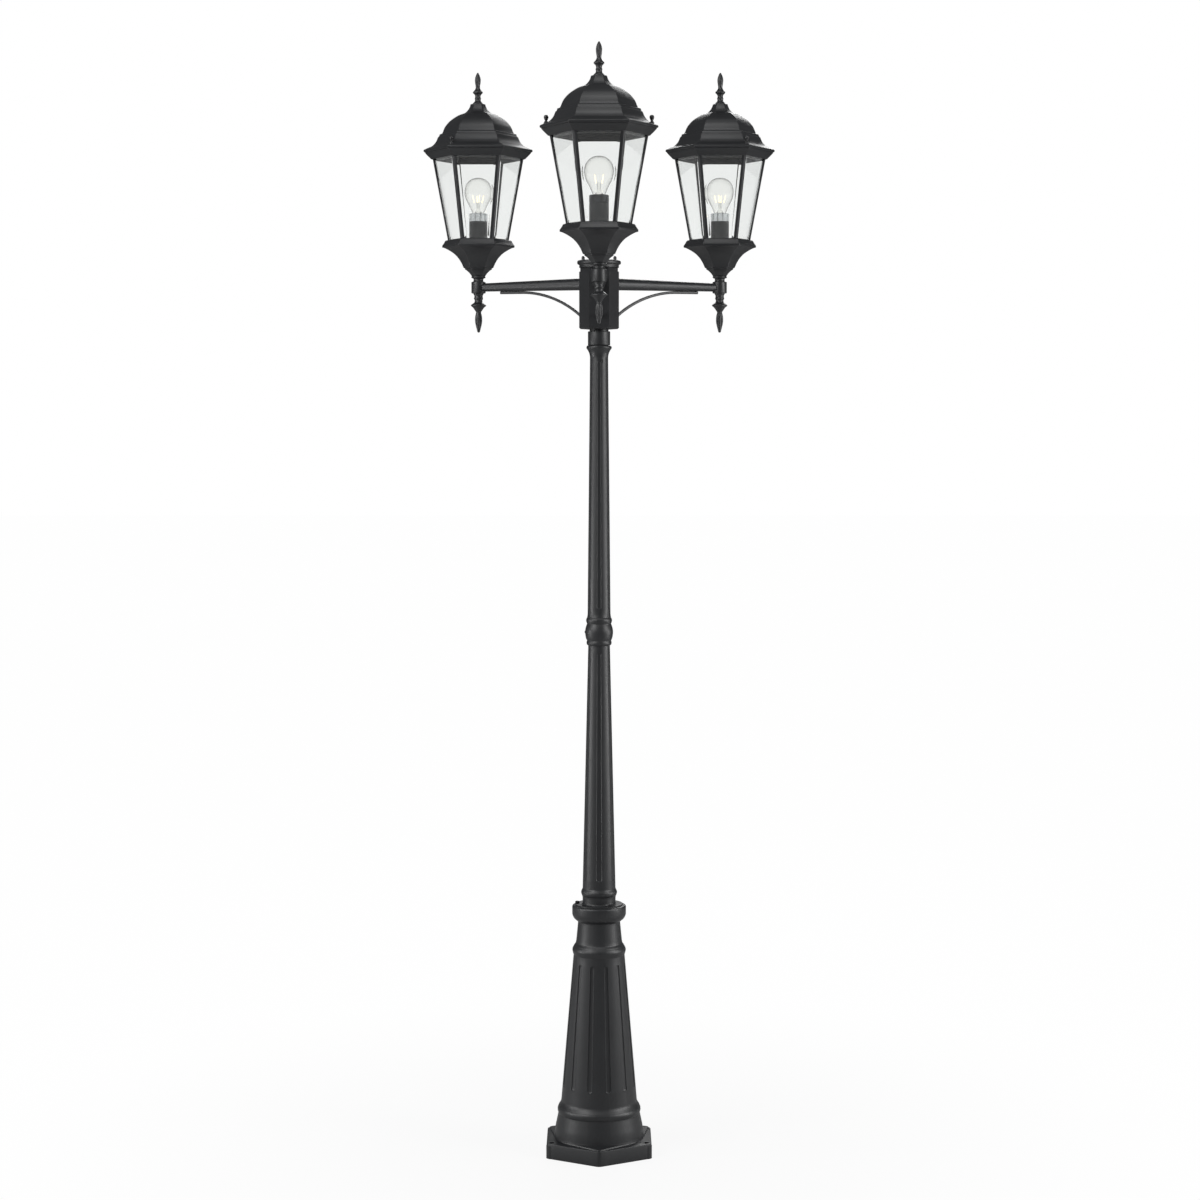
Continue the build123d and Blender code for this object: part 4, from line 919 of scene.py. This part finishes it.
caged = {
    "foot": 67.5, "lean": 0.1845, "footLevel": 1999.5, "flange": 6.5, "lip": 1.5, "web": 3, "depth": 8,
    "low": 1995.2, "high": 2182, "noseBack": 0.35, "noseHalf": 0.5, "rows": 5,
}


def makeFinials(head):
    s = lanternSizes
    lower = coated(lathe(f"{head}LowerFinialTurned", s["lowerFinial"], around=72, ribs=s["lowerRibs"]), "blackCoat")
    attach(finished(lower, lanternPlace(head), edge=0), "post", "black_coat", f"{head}_lower_finial")
    top = coated(lathe(f"{head}TopFinialTurned", s["topFinial"], around=72, ribs=s["topRibs"]), "blackCoat")
    attach(finished(top, lanternPlace(head), edge=0), f"{head}_lid_unit", "black_coat", f"{head}_top_finial")


def makePan(head):
    s = lanternSizes
    foot = lathe("panFoot", s["panFoot"], around=64, closed=True)
    bowl = hexLathe("panBowl", s["panBowl"], rounding=1.6)
    pan = coated(joined(f"{head}PanCast", [outwards(foot), outwards(bowl)]), "blackCoat")
    attach(finished(pan, lanternPlace(head), edge=0.35), "post", "black_coat", f"{head}_pan")


def barRing(height):
    # section of a corner bar: two lips along the faces and a web between the panes
    c = caged
    corner = c["foot"] + c["lean"] * (height - c["footLevel"])
    side = math.cos(math.radians(30))
    lipEnd = (corner - c["flange"] / 2, c["flange"] * side)
    lipBack = (lipEnd[0] - c["lip"] * side, lipEnd[1] - c["lip"] / 2)
    root = (corner - c["lip"] * side - (c["web"] / 2 + c["lip"] / 2) / side / 2, c["web"] / 2)
    half = [(corner - c["noseBack"], c["noseHalf"]), lipEnd, lipBack, root, (corner - c["depth"], c["web"] / 2)]
    return [(x, y, height) for x, y in half + [(x, -y) for x, y in reversed(half)]]


def makeCage(head):
    s = lanternSizes
    rows = caged["rows"]
    rings = [barRing(caged["low"] + (caged["high"] - caged["low"]) * i / (rows - 1)) for i in range(rows)]
    around = len(rings[0])
    last = around * (rows - 1)
    bar = withFaces(skinned("bar", rings), [tuple(range(around)), tuple(range(last, last + around))])
    parts = [repeated(outwards(bar), copies=6, firstTurn=30, material="blackCoat")]
    for name, outline, rounding in (("sill", s["sill"], 1.2), ("eave", s["eave"], 1.8)):
        parts.append(coated(outwards(hexLathe(name, outline, rounding)), "blackCoat"))
    cage = joined(f"{head}CageCast", parts)
    attach(finished(cage, lanternPlace(head), edge=0.3, sharp=30), "post", "black_coat", f"{head}_cage")


def makeLid(head):
    s = lanternSizes
    roof = outwards(hexLathe("roof", s["lid"], rounding=1.3))
    seats = []
    for side in (-90, 90):
        seat = lathe("knobSeat", s["knobSeat"], around=32, closed=True)
        seat.transform(Matrix.Translation(polar(s["knobReach"], math.radians(side), 0) * mm))
        seats.append(outwards(seat))
    lid = coated(joined(f"{head}LidCast", [roof, *seats]), "blackCoat")
    attach(finished(lid, lanternPlace(head), edge=0.35, sharp=30), f"{head}_lid_unit", "black_coat", f"{head}_lid")
    for number, side in ((1, -90), (2, 90)):
        knob = coated(lathe(f"{head}Knob{number}Turned", s["knob"], around=40), "blackScrew")
        offset = polar(s["knobReach"], math.radians(side), 0)[:2]
        knobPiece = finished(knob, lanternPlace(head, offset), edge=0)
        attach(knobPiece, f"{head}_knob_{number}", "fastener_steel", f"{head}_lid_knob_{number}")


bulbSizes = {
    "holder": [
        (5.2, 1950), (18.8, 1950), (20, 1951.2), (20, 2040.8), (19.4, 2041.4), (19.4, 2042.6), (20, 2043.2),
        (20, 2056.6), (18.6, 2058), (14.6, 2058), (13.7, 2057), (13.6, 2031), (5.2, 2031),
    ],
    "threadLow": 2036, "threadHigh": 2055.6, "threadRadius": 12.7, "threadDepth": 0.55, "threadPitch": 3.63,
    "threadRows": 88, "threadFade": 8, "capAround": 72,
    "capFoot": [
        (0, 2031.3), (5.2, 2031.3), (5.4, 2032.2), (5.4, 2032.8), (8.6, 2034.2), (11.4, 2035.4), (12.2, 2036),
    ],
    "capHead": [(12.7, 2055.6), (12.9, 2056.2), (12.9, 2058.2), (0, 2058.2)],
    "glass": [
        (11.6, 0), (12.5, 0),
        [(12.7, 0.4), (13.3, 2.6), (14.6, 5.4), (16.8, 10.6), (19.2, 16), (22.2, 21.6), (25.4, 27.6),
         (27.6, 33), (29.2, 39), (29.95, 44.6), (30, 49.4), (29.3, 55.2), (27.6, 60.8), (24.9, 66),
         (21.4, 70.4), (17.0, 74.2), (12.0, 76.6), (6.4, 78), (0, 78.3)],
    ],
    "wall": 0.7, "glassTop": 78.3, "thinFrom": 40, "glassAround": 64, "glassSteps": 3,
    "stem": [
        (0, 0.2), (9.4, 0.2),
        [(9.2, 0.6), (7.0, 3.4), (4.6, 7.0), (3.5, 11.2), (3.3, 16), (3.9, 19.4), (4.2, 21.2), (3.6, 23),
         (2.0, 24.2), (0, 24.5)],
    ],
    "strandCount": 4,
    "filaments": {
        "wire": {
            "outline": [(0, 12), (0.28, 12), (0.28, 26), (0, 26)],
            "around": 10, "reach": 1.6, "lean": 7, "finish": "zincSteel", "piece": "FilamentWires",
        },
        "strand": {
            "outline": [(0, 25), (0.4, 25), (0.5, 25.6), (0.5, 40), (0.4, 40.6), (0, 40.6)],
            "around": 14, "reach": 2.6, "lean": 14, "finish": "filamentGlow", "piece": "Filaments",
        },
    },
    "collar": [
        (19.8, 2040.5), (20.35, 2040.9), (20.5, 2043), (20.2, 2044), (20.5, 2045.2), (20.2, 2046.4),
        (20.5, 2047.8), (20.2, 2049), (20.5, 2050.4), (20.2, 2051.6), (20.5, 2053), (20.4, 2057.2),
        (19.7, 2058.2), (14.4, 2058.2), (14.4, 2057.4), (19.2, 2057.2),
    ],
    "collared": ("left", "right"),
    "glassLevel": 2058.3,
}


def makeBulb(head):
    s = bulbSizes
    holder = coated(lathe(f"{head}HolderTurned", s["holder"], around=64, closed=True), "holderSleeve")
    attach(finished(holder, lanternPlace(head), edge=0.3), "post", "lampholder_black", f"{head}_lampholder")
    around, rows = s["capAround"], s["threadRows"]
    rings = roundRings(traced(s["capFoot"]), around)
    for i in range(rows + 1):
        z = s["threadLow"] + (s["threadHigh"] - s["threadLow"]) * i / rows
        depth = s["threadDepth"] * min(1, i / s["threadFade"], (rows - i) / s["threadFade"])
        turns = [2 * math.pi * k / around for k in range(around)]
        climb = 2 * math.pi * z / s["threadPitch"]
        rings.append([polar(s["threadRadius"] + depth * math.cos(climb - turn), turn, z) for turn in turns])
    rings += roundRings(traced(s["capHead"]), around)
    cap = coated(skinned(f"{head}BulbCapThreaded", rings), "capMetal")
    body = f"{head}_bulb"
    attach(finished(cap, lanternPlace(head), edge=0, sharp=50), body, "bulb_cap_metal", f"{head}_bulb_cap")
    lift = Matrix.Translation((0, 0, s["glassLevel"] * mm))
    outer = traced(s["glass"], s["glassSteps"])
    wall, top, thin, around = s["wall"], s["glassTop"], s["thinFrom"], s["glassAround"]
    shell = [(r, z) for r, z in outer if r > 0.01] + [(0, top)]
    inner = [(max(r - wall, 0), z if z < thin else z - wall * (z - thin) / (top - thin)) for r, z in reversed(shell)]
    rings = roundRings(shell, around) + roundRings(inner, around)
    glass = coated(skinned(f"{head}BulbGlassBlown", rings), "bulbGlass")
    low = len(glass.vertices) - around  # first point of the inner rim
    rim = [(j, (j + 1) % around, low + (j + 1) % around, low + j) for j in range(around)]
    glass = coated(withFaces(glass, rim), "bulbGlass")
    attach(finished(glass, lanternPlace(head) @ lift, edge=0, sharp=60), body, "bulb_clear_glass", f"{head}_bulb_glass")
    stem = coated(lathe(f"{head}BulbStemDrawn", s["stem"], around=40), "stemGlass")
    stemPiece = finished(stem, lanternPlace(head) @ lift, edge=0, sharp=60)
    attach(stemPiece, body, "bulb_clear_glass", f"{head}_bulb_filament")
    if head in s["collared"]:
        collar = coated(lathe(f"{head}HolderCollar", s["collar"], around=64, closed=True), "collarShine")
        attach(finished(collar, lanternPlace(head), edge=0), "post", "lampholder_black", f"{head}_lampholder")
    for name, part in s["filaments"].items():
        thread = lathe(name, part["outline"], around=part["around"])
        lean = Matrix.Rotation(math.radians(part["lean"]), 4, "Y")
        thread.transform(Matrix.Translation(Vector((part["reach"], 0, 0)) * mm) @ lean)
        threads = repeated(outwards(thread), s["strandCount"], firstTurn=45, material=part["finish"])
        threads.name = f"{head}{part['piece']}"
        threadPiece = finished(threads, lanternPlace(head) @ lift, edge=0, sharp=40)
        attach(threadPiece, body, "bulb_filament", f"{head}_bulb_filament")


def coatRest():
    # the CAD nodes that stay as they are
    slots = {
        "black_coat": "blackCoat", "black_coat_steel": "blackCoat", "fastener_steel": "blackScrew",
        "plain_steel": "zincSteel", "pane_glass": "paneGlass", "lampholder_black": "holderSleeve",
        "bulb_cap_metal": "capMetal", "bulb_clear_glass": "bulbGlass", "bulb_filament": "filamentGlow",
    }
    own = {entry["node"]: entry["material_slot"] for entry in frame["record"]["subparts"]}
    for name, node in frame["nodes"].items():
        for slot in node.material_slots:
            slot.material = finish[slots[own[name]]]


makeHub()
print("stage: hub and cap")
for head in headTurns:
    makeArm(head)
    makeFinials(head)
    makePan(head)
    makeCage(head)
    makeLid(head)
    makeBulb(head)
    print("stage: lantern", head)
coatRest()
